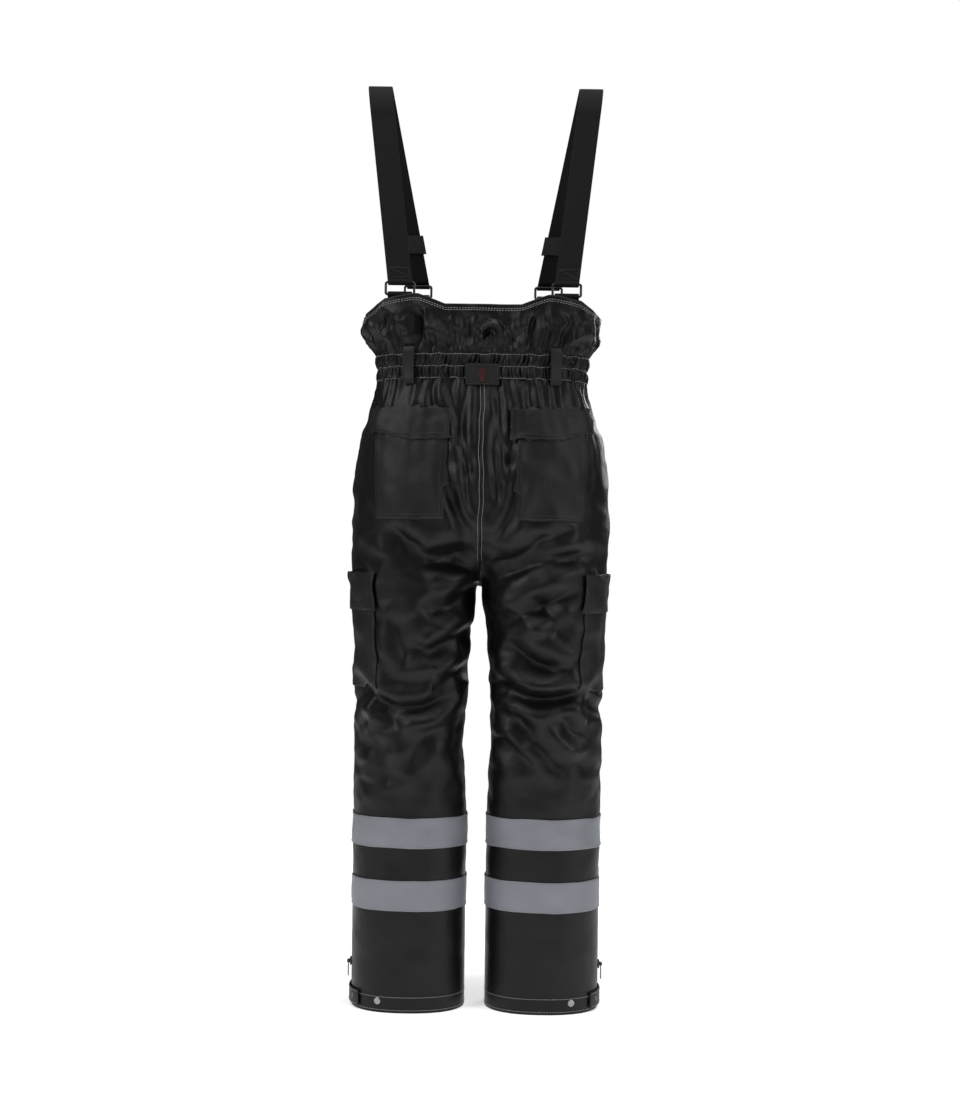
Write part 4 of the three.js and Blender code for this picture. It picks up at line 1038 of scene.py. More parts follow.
def make_cargo_pockets():
    """Two cargo pockets on the thighs with hinged flaps."""
    for side, hand in SIDES:
        low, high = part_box("cargo_pocket_left")
        flat = panel_grid(
            ((low[1], low[2]), (low[1], high[2])), ((high[1] - 0.004, low[2]), (high[1], high[2])), 70, 80)
        piece, points = patch_piece(
            f"cargo_pocket_cloth_{hand}", flat, from_side, side, 2.6 * MM, 1.8 * MM, 1.6 * MM,
            "pocket_cloth", 40 + side)
        done(piece, "trousers", "pocket_cloth", f"cargo_pocket_{hand}")
        stitches(f"cargo_pocket_stitches_{hand}", inset_rows(points, ((0.02, 0.02), (0.05, 0.05))),
                 "trousers", "dark_thread")
        low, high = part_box("cargo_flap_left")
        flat = panel_grid(((low[1], low[2] + 0.003), (low[1], high[2])),
                          ((high[1], low[2] + 0.003), (high[1], high[2])),
                          50, 80)
        piece, points = patch_piece(
            f"cargo_flap_cloth_{hand}", flat, from_side, side, 1.0 * MM, 6.4 * MM, 1.8 * MM, "pocket_cloth", 50 + side)
        done(piece, f"cargo_flap_{hand}", "pocket_cloth", f"cargo_flap_{hand}")
        stitches(f"cargo_flap_stitches_{hand}", inset_rows(points, ((0.02, 0.06), (0.05, 0.15))),
                 f"cargo_flap_{hand}", "dark_thread")


def make_trim():
    """The centre back patch with its plain mark, and the welts of the hand pockets."""
    low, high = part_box("back_patch")
    half = (high[0] - low[0]) / 2
    flat = panel_grid(((half, low[2]), (half, high[2])), ((-half, low[2]), (-half, high[2])), 40, 60)
    points = from_behind(flat, 1)
    points[..., 1] = high[1] + 1.6 * MM + 0.5 * MM * np.sin(points[..., 0] * 180)
    patch = surface("back_patch_cloth", points, "patch_cloth")
    if normals_of(patch)[:, 1].mean() < 0:
        patch.data.flip_normals()
    modify(patch, "SOLIDIFY", thickness=4.2 * MM, offset=-1)
    modify(patch, "BEVEL", width=0.5 * MM, segments=2, limit_method="ANGLE", angle_limit=1.0)
    settle(patch)
    done(patch, "trousers", "patch_cloth", "back_patch")
    along = np.linspace(0, 1, 24)
    marks = []
    for swell in (-1.0, -0.35, 0.35, 1.0):
        x = swell * 4.2 * np.sin(np.pi * along) * MM
        z = low[2] + (6 + along * 23) * MM
        marks.append(np.stack([x, np.full(24, high[1] + 2.3 * MM), z], 1))
    stitches("back_patch_mark", marks, "trousers", "patch_mark")
    frame_rows = inset_rows(points + np.array([0, 0.9 * MM, 0]), ((0.05, 0.07),), ("left", "foot", "right", "head"))
    stitches("back_patch_stitches", frame_rows, "trousers", "dark_thread")
    for side, hand in SIDES:
        low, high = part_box("hand_pocket_welt_left")
        wide = 0.020
        flat = panel_grid(((high[0] - wide, low[2]), (low[0], high[2])),
                          ((high[0], low[2]), (low[0] + wide, high[2])), 60, 16)
        piece, points = patch_piece(
            f"hand_pocket_welt_cloth_{hand}", flat, in_front, side, 0.8 * MM, 0.8 * MM, 1.6 * MM, "pocket_cloth", 60)
        done(piece, "trousers", "pocket_cloth", f"hand_pocket_welt_{hand}")
        stitches(f"hand_pocket_stitches_{hand}", inset_rows(points, ((0.14, 0.02),), ("left", "right")),
                 "trousers", "dark_thread")


def in_front(flat, side):
    """A flat panel bent round the front of the torso."""
    return round_torso(flat, side, -1)


# ------------------------------------------------------------------ reflective bands

def make_bands():
    """Two silver bands round each leg, each with a row of border-coloured stitches along both edges."""
    for side, hand in SIDES:
        for level in ("upper", "lower"):
            low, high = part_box(f"reflective_band_{level}_{hand}")
            gap = 0.0 if level == "upper" else 0.115
            turn = np.linspace(gap, 2 * np.pi - gap, 260) + (0 if side > 0 else np.pi)
            turn, height = np.meshgrid(turn, np.linspace(low[2], high[2], 26))
            points = leg_points(turn, height, side, 0.012)
            flat = surface("probe", points, "shell_cloth")
            lay_on(flat, SHELL["skin"], 0.9 * MM, "NEAREST_SURFACEPOINT")
            points = points_of(flat).reshape(points.shape)
            bpy.data.objects.remove(flat)
            points = smoothed(points, 3)
            band = surface(f"silver_band_{level}_{hand}", points, "reflective")
            modify(band, "SOLIDIFY", thickness=0.9 * MM, offset=1)
            settle(band)
            done(band, "trousers", "reflective", f"reflective_band_{level}_{hand}")
            rows = []
            for line in (points[1], points[-2]):
                centre = np.array([side * LEG_X, 0, 0])
                away = (line - centre) * np.array([1, 1, 0])
                rows.append(line + away / np.linalg.norm(away, axis=1)[:, None] * 1.15 * MM)
            leg_stitches(f"band_stitches_{level}_{hand}", rows, side, "band_border")


def leg_stitches(name, rows, side, finish="light_thread"):
    """Rows of stitches round a leg, facing away from that leg's own middle."""
    centre = np.array([side * LEG_X, 0, 0])
    piece = stitches(name, [row - centre for row in rows], "trousers", finish)
    put_points(piece, points_of(piece) + centre)
    return piece


# ------------------------------------------------------------------ seams and hems

def on_shell(path, axis, lift=0.5 * MM):
    """A path of points carried along an axis onto the shell."""
    path = np.asarray(path, float)
    strip = np.stack([path, path + np.array([0.0004, 0.0004, 0.0004])], 0)
    return drop_on(strip, axis, SHELL["skin"], lift)[0]


def make_seams():
    """Contrast stitching: the seat seam, the waist rows, the bib's edge and the hems."""
    z = np.linspace(0.745, WAIST - 6 * MM, 220)
    rows = []
    for shift in (-3.2 * MM, 3.2 * MM):
        wander = 1.1 * MM * np.sin(z * 42) + 0.6 * MM * np.sin(z * 117 + 1)
        rows.append(on_shell(np.stack([shift + wander, np.full_like(z, 0.3), z], 1), "y"))
    stitches("seat_seam_stitches", rows, "trousers")
    turn = open_turns(1400)
    rows = []
    for level in (0.035, 0.5, 0.965):
        wobble = gather_wave(bearing(turn, np.full_like(turn, WAIST)), 40 + int(9 * level), 41) * 0.9 * MM
        height = WAIST + (BAND_TOP - WAIST) * level + np.clip(wobble, -1.2 * MM, 1.6 * MM)
        points = torso_points(turn, height)
        out = points[:, :2] / np.linalg.norm(points[:, :2] / np.array([1, 0.75]), axis=1)[:, None]
        points[:, :2] += out * (band_relief(turn, height) + 0.5 * MM)[:, None]
        rows.append(points)
    stitches("waist_stitches", rows, "trousers")
    turn = even_turns(SIDE_SEAM, np.pi - SIDE_SEAM, 900, 1.14)
    x = torso_points(turn, np.full_like(turn, 1.16))[:, 0]
    top = back_edge(x)
    rows = []
    for drop in (7 * MM, 10 * MM):
        height = top - drop
        points = torso_points(turn, height)
        out = points[:, :2] / np.linalg.norm(points[:, :2] / np.array([1, 0.75]), axis=1)[:, None]
        points[:, :2] += out * (bib_relief(turn, height, top) + 0.5 * MM)[:, None]
        rows.append(points)
    stitches("bib_edge_stitches", rows, "trousers")
    for side, hand in SIDES:
        turn = np.linspace(0.02, 2 * np.pi - 0.02, 500)
        rows = []
        for height in (cloth().hem, 5 * MM):
            points = leg_points(turn, np.full_like(turn, height), side, 0.012)
            strip = surface("probe", np.stack([points, points + np.array([0, 0, 0.4 * MM])]), "shell_cloth")
            lay_on(strip, SHELL["skin"], 0.5 * MM)
            rows.append(points_of(strip).reshape(2, -1, 3)[0])
            bpy.data.objects.remove(strip)
        leg_stitches(f"hem_stitches_{hand}", rows, side)


# ------------------------------------------------------------------ ribbons, rings and fittings

def ribbon(name, path, across, half, thickness, finish):
    """Flat webbing: a path, a direction across it at each point, and a rounded flat section."""
    path, across = np.asarray(path, float), np.asarray(across, float)
    along = np.gradient(path, axis=0)
    normal = np.cross(across, along)
    normal /= np.linalg.norm(normal, axis=1)[:, None]
    edge = thickness / 2
    turn = np.arange(20) * 2 * np.pi / 20
    u = squashed(np.cos(turn), 14) * half
    v = squashed(np.sin(turn), 3) * edge
    points = path[:, None] + across[:, None] * u[None, :, None] + normal[:, None] * v[None, :, None]
    rows, columns = points.shape[:2]
    faces = grid_faces(rows, columns, True).tolist()
    faces += [list(range(columns))[::-1], [(rows - 1) * columns + i for i in range(columns)]]
    mesh = bpy.data.meshes.new(name)
    mesh.from_pydata(points.reshape(-1, 3).tolist(), [], faces)
    mesh.polygons.foreach_set("use_smooth", np.ones(len(faces), bool))
    mesh.materials.append(finish_of(finish))
    piece = bpy.data.objects.new(name, mesh)
    bpy.context.scene.collection.objects.link(piece)
    shape = bmesh.new()
    shape.from_mesh(mesh)
    bmesh.ops.recalc_face_normals(shape, faces=shape.faces)
    shape.to_mesh(mesh)
    shape.free()
    return piece


def make_suspenders():
    """Each suspender: webbing over the shoulder, folded round both rings and sewn back on itself."""
    for side, hand in SIDES:
        low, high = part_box(f"suspender_{hand}")
        top = high[2]
        back_low, back_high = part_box(f"back_ring_{hand}")
        front_low, front_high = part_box(f"front_ring_{hand}")
        back_bar = ((back_low[1] + back_high[1]) / 2, back_high[2] - 2.1 * MM)
        front_bar = ((front_low[1] + front_high[1]) / 2, front_high[2] - 2.1 * MM)
        back_x, front_x = (back_low[0] + back_high[0]) / 2, (front_low[0] + front_high[0]) / 2
        arch, thick, eye = 0.058, 1.9 * MM, 4.4 * MM
        arch_z = top - arch - 0.9 * MM
        turn = np.linspace(0, np.pi, 40)
        crest = np.stack([arch * np.cos(turn), arch_z + arch * np.sin(turn)], 1)
        up = np.linspace(0, 1, 60)[:, None]
        rise = np.array([back_bar[0], back_bar[1] + eye]) * (1 - up) + np.array([arch, arch_z]) * up
        fall = np.array([-arch, arch_z]) * (1 - up) + np.array([front_bar[0], front_bar[1] + eye]) * up
        line = np.concatenate([rise[:-1], crest, fall[1:]])
        ring_x = np.where(line[:, 0] > 0, back_x, front_x)
        eye_z = np.where(line[:, 0] > 0, back_bar[1], front_bar[1])
        x = ring_x + (side * 0.177 - ring_x) * (line[:, 1] - eye_z) / (top - eye_z)
        path = np.stack([x, line[:, 0], line[:, 1]], 1)
        across = np.tile(np.array([1.0, 0, 0]), (len(path), 1))
        strap = ribbon(f"suspender_webbing_{hand}", path, across, 20 * MM, thick, "webbing")
        done(strap, f"suspender_{hand}", "webbing", f"suspender_{hand}")
        for where, x0, bar, limb in (("back", back_x, back_bar, rise), ("front", front_x, front_bar, fall[::-1])):
            slope = (limb[-1] - limb[0]) / np.linalg.norm(limb[-1] - limb[0])
            sideways = np.array([-slope[1], slope[0]]) * (1 if where == "back" else -1)
            tail = np.linspace(26 * MM, 5 * MM, 12)[:, None]
            first = np.array(bar) + slope * tail - sideways * 2.0 * MM * np.clip(1.6 - tail / (26 * MM), 0.95, 1)
            turn = np.linspace(np.pi * 0.92, 2 * np.pi + 0.25, 22)[:, None]
            loop = np.array(bar) + sideways * (eye * 0.96) * np.cos(turn) + slope * eye * 0.96 * np.sin(turn)
            fold = np.concatenate([first, loop])
            dx = (side * 0.177 - x0) / (top - bar[1])
            path = np.stack([x0 + dx * (fold[:, 1] - bar[1]), fold[:, 0], fold[:, 1]], 1)
            across = np.tile(np.array([1.0, 0, 0]), (len(path), 1))
            piece = ribbon(f"suspender_{where}_fold_{hand}", path, across, 20 * MM, 1.6 * MM, "webbing")
            done(piece, f"suspender_{hand}", "webbing")
            box_low = np.array(bar) + slope * 9 * MM
            box_high = np.array(bar) + slope * 24 * MM
            out = 3.2 * MM if where == "back" else 1.3 * MM
            rows = []
            corners = [(-16, box_low), (16, box_low), (16, box_high), (-16, box_high), (-16, box_low), (16, box_high)]
            points = [(x0 + dx * (p[1] - bar[1]) + a * MM, p[0] + (out if where == "back" else -out), p[1])
                      for a, p in corners]
            for start, end in zip(points[:-1], points[1:]):
                rows.append(np.linspace(start, end, 12))
            shifted = [row - np.array([x0, 0, 0]) for row in rows]
            threads = stitches(f"suspender_{where}_stitches_{hand}", shifted, f"suspender_{hand}", "dark_thread")
            put_points(threads, points_of(threads) + np.array([x0, 0, 0]))


def make_rings():
    """Wire rings: a round bar carried along a rounded rectangle."""
    for side, hand in SIDES:
        for where in ("back", "front"):
            low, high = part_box(f"{where}_ring_{hand}")
            middle = (np.array(low) + np.array(high)) / 2
            half_x, half_z = (high[0] - low[0]) / 2 - 2.1 * MM, (high[2] - low[2]) / 2 - 2.1 * MM
            turn = np.linspace(0, 2 * np.pi, 96, endpoint=False)
            corner = 3.2 * MM
            centre_x = np.sign(np.cos(turn)) * (half_x - corner)
            centre_z = np.sign(np.sin(turn)) * (half_z - corner)
            path = np.stack([centre_x + corner * np.cos(turn), 0 * turn, centre_z + corner * np.sin(turn)], 1)
            path += middle
            out = np.stack([np.cos(turn), 0 * turn, np.sin(turn)], 1)
            around = np.linspace(0, 2 * np.pi, 14, endpoint=False)
            points = path[:, None] + 2.05 * MM * (
                out[:, None] * np.cos(around)[None, :, None] + np.array([0, 1, 0]) * np.sin(around)[None, :, None])
            faces = grid_faces(97, 14, True) % (96 * 14)
            ring = new_piece(f"{where}_wire_ring_{hand}", points, faces, "hardware")
            shape = bmesh.new()
            shape.from_mesh(ring.data)
            bmesh.ops.recalc_face_normals(shape, faces=shape.faces)
            shape.to_mesh(ring.data)
            shape.free()
            done(ring, f"{where}_ring_{hand}", "hardware", f"{where}_ring_{hand}")
            web = f"{where}_ring_web_{hand}"
            low_w, high_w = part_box(web)
            facing = 1 if where == "back" else -1
            bar = np.array([middle[1], low[2] + 2.1 * MM])
            turn = np.linspace(-0.45 * np.pi, 1.45 * np.pi, 24)
            loop = bar + 4.2 * MM * np.stack([np.cos(turn) * facing, np.sin(turn)], 1)
            wall = low_w[1] + 2 * MM if where == "back" else high_w[1] - 2 * MM
            drop = np.linspace(0, 1, 14)[1:, None]
            end = loop[-1]
            foot = np.array([middle[1] - facing * 2 * MM, low_w[2]])
            tail = end + (foot - end) * drop
            head = (np.array([middle[1] + facing * 0.2 * MM, low_w[2]]) + (loop[0] - np.array([middle[1], low_w[2]]))
                    * np.linspace(0, 1, 14)[:-1, None])
            line = np.concatenate([head, loop, tail])
            path = np.stack([np.full(len(line), middle[0]), line[:, 0], line[:, 1]], 1)
            across = np.tile(np.array([1.0, 0, 0]), (len(path), 1))
            piece = ribbon(f"{where}_web_loop_{hand}", path, across, 20 * MM, 1.7 * MM, "webbing")
            done(piece, "trousers", "webbing", web)


def make_loops():
    """Belt loops: folded cloth strips sewn above and below the waistband."""
    for where, facing in (("back", 1), ("front", -1)):
        for side, hand in SIDES:
            node = f"belt_loop_{where}_{hand}"
            low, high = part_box(node)
            x = (low[0] + high[0]) / 2
            z = np.linspace(low[2], high[2], 46)
            level = (z - low[2]) / (high[2] - low[2])
            half, back, front, _, square = stations(TORSO, z)
            depth = back if facing > 0 else front
            wall = facing * depth * (1 - (abs(x) / half) ** square) ** (1 / square)
            belly = np.clip(np.minimum(level, 1 - level) / 0.16, 0, 1)
            lift = (3.6 + 2.4 * np.sin(belly * np.pi / 2)) * MM
            slope = facing * -0.4 * np.sign(x) * (abs(x) / 0.118) ** 2
            across = np.array([1.0, slope, 0])
            across /= np.linalg.norm(across)
            out = np.array([-across[1], across[0], 0]) * facing
            path = np.stack([np.full_like(z, x), wall, z], 1) + out * lift[:, None]
            half_wide = (high[0] - low[0]) / 2
            piece = ribbon(f"{node}_cloth", path, np.tile(across, (46, 1)), half_wide, 1.8 * MM, "pocket_cloth")
            done(piece, "trousers", "pocket_cloth", node)
            rows = [path + across * a * half_wide * 0.72 + out * 1.25 * MM for a in (-1, 1)]
            stitches(f"{node}_stitches", rows, "trousers", "dark_thread")


def make_tabs():
    """Hem tabs with their caps, and the fixed studs behind them."""
    for side, hand in SIDES:
        low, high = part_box(f"hem_tab_{hand}")
        y = np.linspace(low[1], high[1], 80)
        depth = LEG[0, 3]
        half = LEG[0, 2]
        x = side * (LEG_X + (half + 2.6 * MM) * (1 - np.abs(y / (depth + 2.6 * MM)) ** LEG_SQUARE) ** (1 / LEG_SQUARE))
        path = np.stack([x, y, np.full_like(y, (low[2] + high[2]) / 2)], 1)
        across = np.tile(np.array([0, 0, 1.0]), (80, 1))
        tab = ribbon(f"hem_tab_cloth_{hand}", path, across, (high[2] - low[2]) / 2, 2.2 * MM, "pocket_cloth")
        done(tab, f"hem_tab_{hand}", "pocket_cloth", f"hem_tab_{hand}")
        out = np.stack([np.gradient(path[:, 1]), -np.gradient(path[:, 0]), 0 * y], 1)
        out /= np.linalg.norm(out, axis=1)[:, None]
        out *= np.sign(out[:, :1] * side)
        rows = [path + np.array([0, 0, a * 10.4 * MM]) + out * 1.4 * MM for a in (-1, 1)]
        centre = np.array([side * LEG_X, 0, 0])
        rows = [row - centre for row in rows]
        threads = stitches(f"hem_tab_stitches_{hand}", rows, f"hem_tab_{hand}", "light_thread")
        put_points(threads, points_of(threads) + centre)
        for node, body in ((f"hem_tab_snap_{hand}", f"hem_tab_{hand}"), (f"hem_snap_{hand}", "trousers")):
            make_snap(node, body, side)


def make_snap(node, body, side):
    """A pressed snap cap: a domed disc with a rolled rim and a dished middle, turned about its axis."""
    low, high = (np.array(corner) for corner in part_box(node))
    middle = (low + high) / 2
    centre = np.array([side * LEG_X, 0, middle[2]])
    size = high - low
    tilt = np.arctan2(size[0], size[1])
    out = np.array([side * np.cos(tilt), np.sin(tilt) * np.sign(middle[1]), 0])
    radius = np.array([0, 2.2, 2.6, 3.4, 4.6, 5.5, 6.0, 6.05, 5.8, 5.4]) * MM
    rise = np.array([1.7, 1.75, 2.2, 2.5, 2.45, 2.0, 1.2, 0.5, 0.0, -0.2]) * MM
    turn = np.arange(36) * 2 * np.pi / 36
    flat = np.cross(out, (0, 0, 1))
    foot = middle - out * 1.0 * MM
    points = foot + rise[:, None, None] * out + radius[:, None, None] * (
        np.cos(turn)[None, :, None] * flat + np.sin(turn)[None, :, None] * np.array([0, 0, 1]))
    cap = new_piece(f"{node}_cap", points, grid_faces(10, 36, True), "snap_metal")
    shape = bmesh.new()
    shape.from_mesh(cap.data)
    bmesh.ops.remove_doubles(shape, verts=shape.verts, dist=1e-5)
    bmesh.ops.holes_fill(shape, edges=shape.edges, sides=0)
    bmesh.ops.recalc_face_normals(shape, faces=shape.faces)
    shape.to_mesh(cap.data)
    shape.free()
    done(cap, body, "snap_metal", node)


def teeth(name, start, end, out, across, body):
    """Zip teeth: two offset columns of small rounded blocks between two points."""
    start, end, out, across = (np.asarray(v, float) for v in (start, end, out, across))
    pitch = 2.6 * MM
    count = int(np.linalg.norm(end - start) / pitch)
    along = (end - start) / np.linalg.norm(end - start)
    step = np.arange(count)
    place = start + along * (step * pitch)[:, None]
    corners = np.array([(a, b, c) for c in (-1, 1) for b in (-1, 1) for a in (-1, 1)], float)
    taper = np.where(corners[:, 1:2] > 0, 0.75, 1.0)
    faces = np.array([(0, 2, 3, 1), (4, 5, 7, 6), (0, 1, 5, 4), (2, 6, 7, 3), (0, 4, 6, 2), (1, 3, 7, 5)])
    points, quads = [], []
    for column, shift in ((-1, 0.0), (1, 0.5)):
        middle = place + across * (column * 1.5 * MM) + along * (shift * pitch)
        block = (corners[:, 0:1] * taper * across * 1.6 + corners[:, 1:2] * out * 0.8
                 + corners[:, 2:3] * taper * along * 0.75) * MM
        base = len(points) * count * 8
        points.append((middle[:, None] + block[None]).reshape(-1, 3))
        quads.append((faces[None] + (step * 8)[:, None, None]).reshape(-1, 4) + base)
    piece = new_piece(name, np.concatenate(points), np.concatenate(quads), "hardware", smooth=False)
    done(piece, body, "hardware")


def make_zips():
    """Zip chains on their tapes; tapes, sliders and pulls keep the frame's own shapes."""
    low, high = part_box("fly_zip_tape")
    teeth("fly_zip_teeth", (0, FLY_Y + 0.2 * MM, low[2] + 0.01), (0, FLY_Y + 0.2 * MM, high[2]),
          (0, -1, 0), (1, 0, 0), "trousers")
    for side, hand in SIDES:
        low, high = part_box(f"leg_zip_tape_{hand}")
        x = side * (LEG_X + LEG[0, 2] - 0.6 * MM)
        teeth(f"leg_zip_teeth_{hand}", (x, 0, low[2]), (x, 0, high[2]), (side, 0, 0), (0, 1, 0), "trousers")
        z = np.linspace(low[2], high[2], 120)
        rows = []
        for edge in (-1, 1):
            y = np.full_like(z, edge * 7.5 * MM)
            path = np.stack([np.full_like(z, side * 0.4), y, z], 1)
            rows.append(on_shell(path, "x"))
        leg_stitches(f"leg_zip_stitches_{hand}", rows, side, "dark_thread")


def keep_nodes():
    """Materials for the frame's own fittings that stay as they are."""
    slots = {part["node"]: part["material_slot"] for part in frame["record"]["subparts"]}
    for node, thing in frame["nodes"].items():
        thing.data.materials.clear()
        thing.data.materials.append(finish_of(slots[node]))


# ------------------------------------------------------------------ stage

FLOOR_HALF = 1.8          # half the floor's side


def softbox(name, place, aim, size, power):
    """A square area light that faces a point."""
    light = bpy.data.lights.new(name, "AREA")
    light.shape, light.size, light.size_y, light.energy = "RECTANGLE", size[0], size[1], power
    thing = bpy.data.objects.new(name, light)
    thing.location = place
    thing.rotation_euler = (Vector(aim) - Vector(place)).to_track_quat("-Z", "Y").to_euler()
    bpy.context.scene.collection.objects.link(thing)


def make_stage():
    """Pale floor, soft studio light and the camera behind the wearer."""
    corners = [(x * FLOOR_HALF, y * FLOOR_HALF, 0) for x, y in ((-1, -1), (1, -1), (1, 1), (-1, 1))]
    floor = new_piece("floor", corners, [(0, 1, 2, 3)], "shell_cloth")
    floor.data.materials[0] = paper_floor()
    scene = bpy.context.scene
    world = bpy.data.worlds.new("studio")
    world.use_nodes = True
    background = world.node_tree.nodes["Background"]
    background.inputs["Color"].default_value = (1.0, 1.0, 1.0, 1)
    seen = world.node_tree.nodes.new("ShaderNodeLightPath")
    strength = world.node_tree.nodes.new("ShaderNodeMapRange")
    strength.inputs["To Min"].default_value = 0.10
    strength.inputs["To Max"].default_value = 1.0
    world.node_tree.links.new(seen.outputs["Is Camera Ray"], strength.inputs["Value"])
    world.node_tree.links.new(strength.outputs["Result"], background.inputs["Strength"])
    scene.world = world
    softbox("key", (2.3, 1.7, 2.3), (0, 0, 0.75), (0.9, 2.0), 47)
    softbox("fill", (-2.5, 1.5, 1.7), (0, 0, 0.75), (0.8, 2.0), 29)
    softbox("low", (0.5, 3.6, 0.9), (0, 0, 0.6), (1.4, 1.4), 2)
    softbox("front_key", (-1.6, -2.6, 2.2), (0, 0, 0.75), (1.4, 2.2), 45)
    softbox("top", (0, 0.4, 3.2), (0, 0, 0.9), (2.0, 1.4), 40)
    camera = bpy.data.cameras.new("camera")
    camera.lens = 58.4
    camera.sensor_fit = "VERTICAL"
    camera.sensor_height = 36
    thing = bpy.data.objects.new("camera", camera)
    thing.location = (0.0, 3.0, 0.765)
    aim = Vector((0.0, 0.0, 0.765)) - Vector(thing.location)
    turn = aim.to_track_quat("-Z", "Y").to_euler()
    turn.rotate_axis("Z", np.radians(0.75))
    thing.rotation_euler = turn
    camera.shift_x = 0.0
    scene.collection.objects.link(thing)
    scene.camera = thing
    scene.view_settings.view_transform = "Standard"


# ------------------------------------------------------------------ operators, panel and registration

class TROUSERS_OT_fittings(bpy.types.Operator):
    """Finishes the fittings that keep the frame's shapes."""

    bl_idname = "trousers.fittings"
    bl_label = "Fittings"

    def execute(self, context):
        keep_nodes()
        return {"FINISHED"}


class TROUSERS_OT_shell(bpy.types.Operator):
    """Makes the folded outer shell."""

    bl_idname = "trousers.shell"
    bl_label = "Shell"

    def execute(self, context):
        make_shell()
        return {"FINISHED"}


class TROUSERS_OT_lining(bpy.types.Operator):
    """Makes the quilted lining."""

    bl_idname = "trousers.lining"
    bl_label = "Lining"

    def execute(self, context):
        make_lining()
        return {"FINISHED"}


class TROUSERS_OT_waistband(bpy.types.Operator):
    """Makes the gathered waistband."""

    bl_idname = "trousers.waistband"
    bl_label = "Waistband"

    def execute(self, context):
        make_waistband()
        return {"FINISHED"}


class TROUSERS_OT_bib(bpy.types.Operator):
    """Makes the back and front bib."""

    bl_idname = "trousers.bib"
    bl_label = "Bib"

    def execute(self, context):
        make_bib()
        return {"FINISHED"}


class TROUSERS_OT_back_pockets(bpy.types.Operator):
    """Makes the back pockets and flaps."""

    bl_idname = "trousers.back_pockets"
    bl_label = "Back pockets"

    def execute(self, context):
        make_back_pockets()
        return {"FINISHED"}


class TROUSERS_OT_cargo_pockets(bpy.types.Operator):
    """Makes the cargo pockets and flaps."""

    bl_idname = "trousers.cargo_pockets"
    bl_label = "Cargo pockets"

    def execute(self, context):
        make_cargo_pockets()
        return {"FINISHED"}


class TROUSERS_OT_trim(bpy.types.Operator):
    """Makes the patch and the hand pocket welts."""

    bl_idname = "trousers.trim"
    bl_label = "Trim"

    def execute(self, context):
        make_trim()
        return {"FINISHED"}


class TROUSERS_OT_bands(bpy.types.Operator):
    """Makes the reflective bands."""

    bl_idname = "trousers.bands"
    bl_label = "Bands"

    def execute(self, context):
        make_bands()
        return {"FINISHED"}


class TROUSERS_OT_seams(bpy.types.Operator):
    """Sews the contrast stitching."""

    bl_idname = "trousers.seams"
    bl_label = "Seams"

    def execute(self, context):
        make_seams()
        return {"FINISHED"}


class TROUSERS_OT_loops(bpy.types.Operator):
    """Makes the belt loops."""

    bl_idname = "trousers.loops"
    bl_label = "Belt loops"

    def execute(self, context):
        make_loops()
        return {"FINISHED"}


class TROUSERS_OT_tabs(bpy.types.Operator):
    """Makes the hem tabs and snaps."""

    bl_idname = "trousers.tabs"
    bl_label = "Hem tabs"

    def execute(self, context):
        make_tabs()
        return {"FINISHED"}


class TROUSERS_OT_zips(bpy.types.Operator):
    """Makes the zip chains."""

    bl_idname = "trousers.zips"
    bl_label = "Zips"

    def execute(self, context):
        make_zips()
        return {"FINISHED"}


class TROUSERS_OT_rings(bpy.types.Operator):
    """Makes the rings and their web loops."""

    bl_idname = "trousers.rings"
    bl_label = "Rings"

    def execute(self, context):
        make_rings()
        return {"FINISHED"}


class TROUSERS_OT_suspenders(bpy.types.Operator):
    """Makes the suspender webbing."""

    bl_idname = "trousers.suspenders"
    bl_label = "Suspenders"

    def execute(self, context):
        make_suspenders()
        return {"FINISHED"}


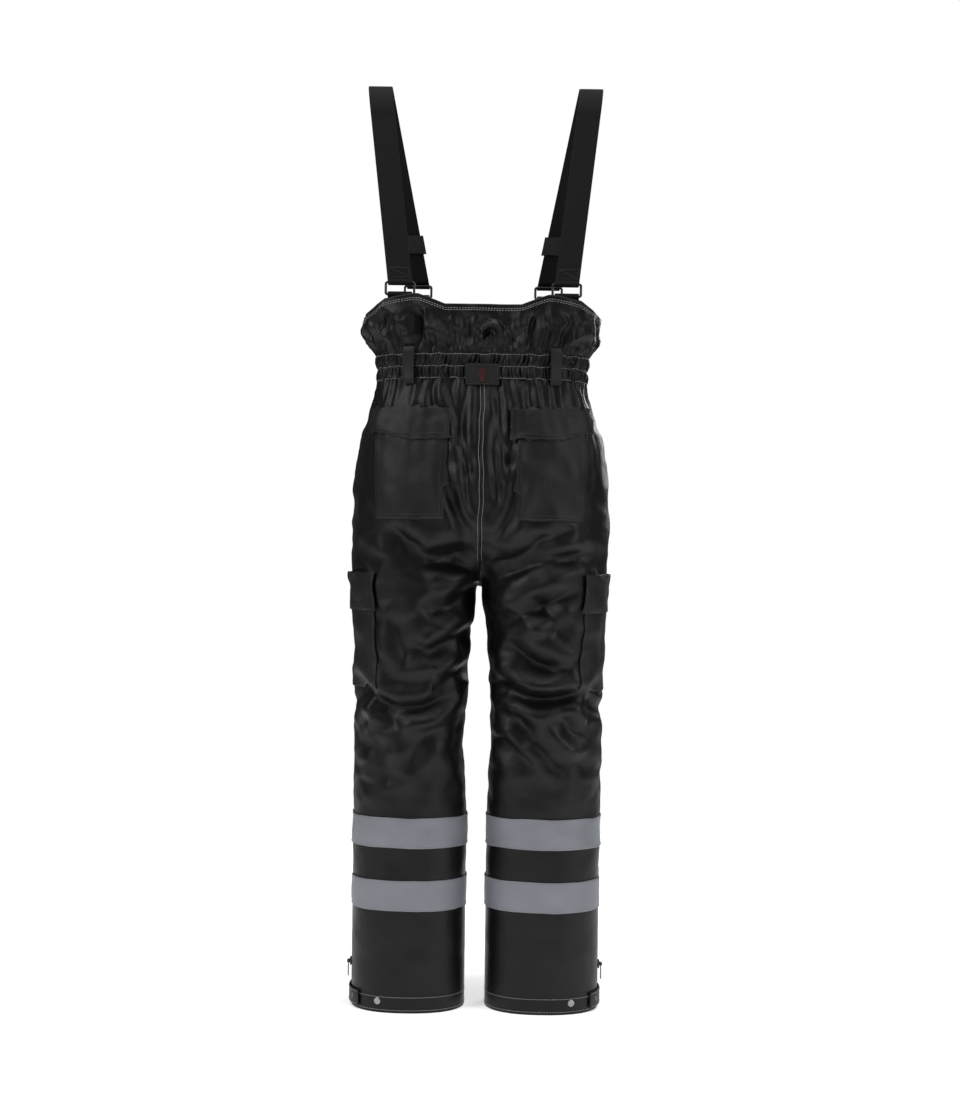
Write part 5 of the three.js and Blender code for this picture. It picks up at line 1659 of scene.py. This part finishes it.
class TROUSERS_OT_stage(bpy.types.Operator):
    """Sets the floor, lights and camera."""

    bl_idname = "trousers.stage"
    bl_label = "Stage"

    def execute(self, context):
        make_stage()
        return {"FINISHED"}


OPERATORS = [
    TROUSERS_OT_fittings,
    TROUSERS_OT_shell,
    TROUSERS_OT_lining,
    TROUSERS_OT_waistband,
    TROUSERS_OT_bib,
    TROUSERS_OT_back_pockets,
    TROUSERS_OT_cargo_pockets,
    TROUSERS_OT_trim,
    TROUSERS_OT_bands,
    TROUSERS_OT_seams,
    TROUSERS_OT_loops,
    TROUSERS_OT_tabs,
    TROUSERS_OT_zips,
    TROUSERS_OT_rings,
    TROUSERS_OT_suspenders,
    TROUSERS_OT_stage,
]


class TROUSERS_PT_panel(bpy.types.Panel):
    """Lists the trousers' settings and pieces."""

    bl_label = "Bib trousers"
    bl_idname = "TROUSERS_PT_panel"
    bl_space_type = "VIEW_3D"
    bl_region_type = "UI"
    bl_category = "Trousers"

    def draw(self, context):
        for settings in (context.scene.trouser_cloth, context.scene.trouser_colours):
            for key in settings.bl_rna.properties.keys():
                if key not in {"rna_type", "name"}:
                    self.layout.prop(settings, key)
        for kind in OPERATORS:
            self.layout.operator(kind.bl_idname)


CLASSES = [ClothSettings, ColourSettings, *OPERATORS, TROUSERS_PT_panel]


def register():
    """Adds the classes and their settings."""
    for kind in CLASSES:
        bpy.utils.register_class(kind)
    bpy.types.Scene.trouser_cloth = bpy.props.PointerProperty(type=ClothSettings)
    bpy.types.Scene.trouser_colours = bpy.props.PointerProperty(type=ColourSettings)


def unregister():
    """Takes the classes and their settings away."""
    del bpy.types.Scene.trouser_colours
    del bpy.types.Scene.trouser_cloth
    for kind in reversed(CLASSES):
        bpy.utils.unregister_class(kind)


def main():
    """Builds every piece in order."""
    register()
    for kind in OPERATORS:
        group, key = kind.bl_idname.split(".")
        getattr(getattr(bpy.ops, group), key)()
    bpy.data.objects.remove(SHELL.pop("skin"))


if __name__ == "__main__":
    main()
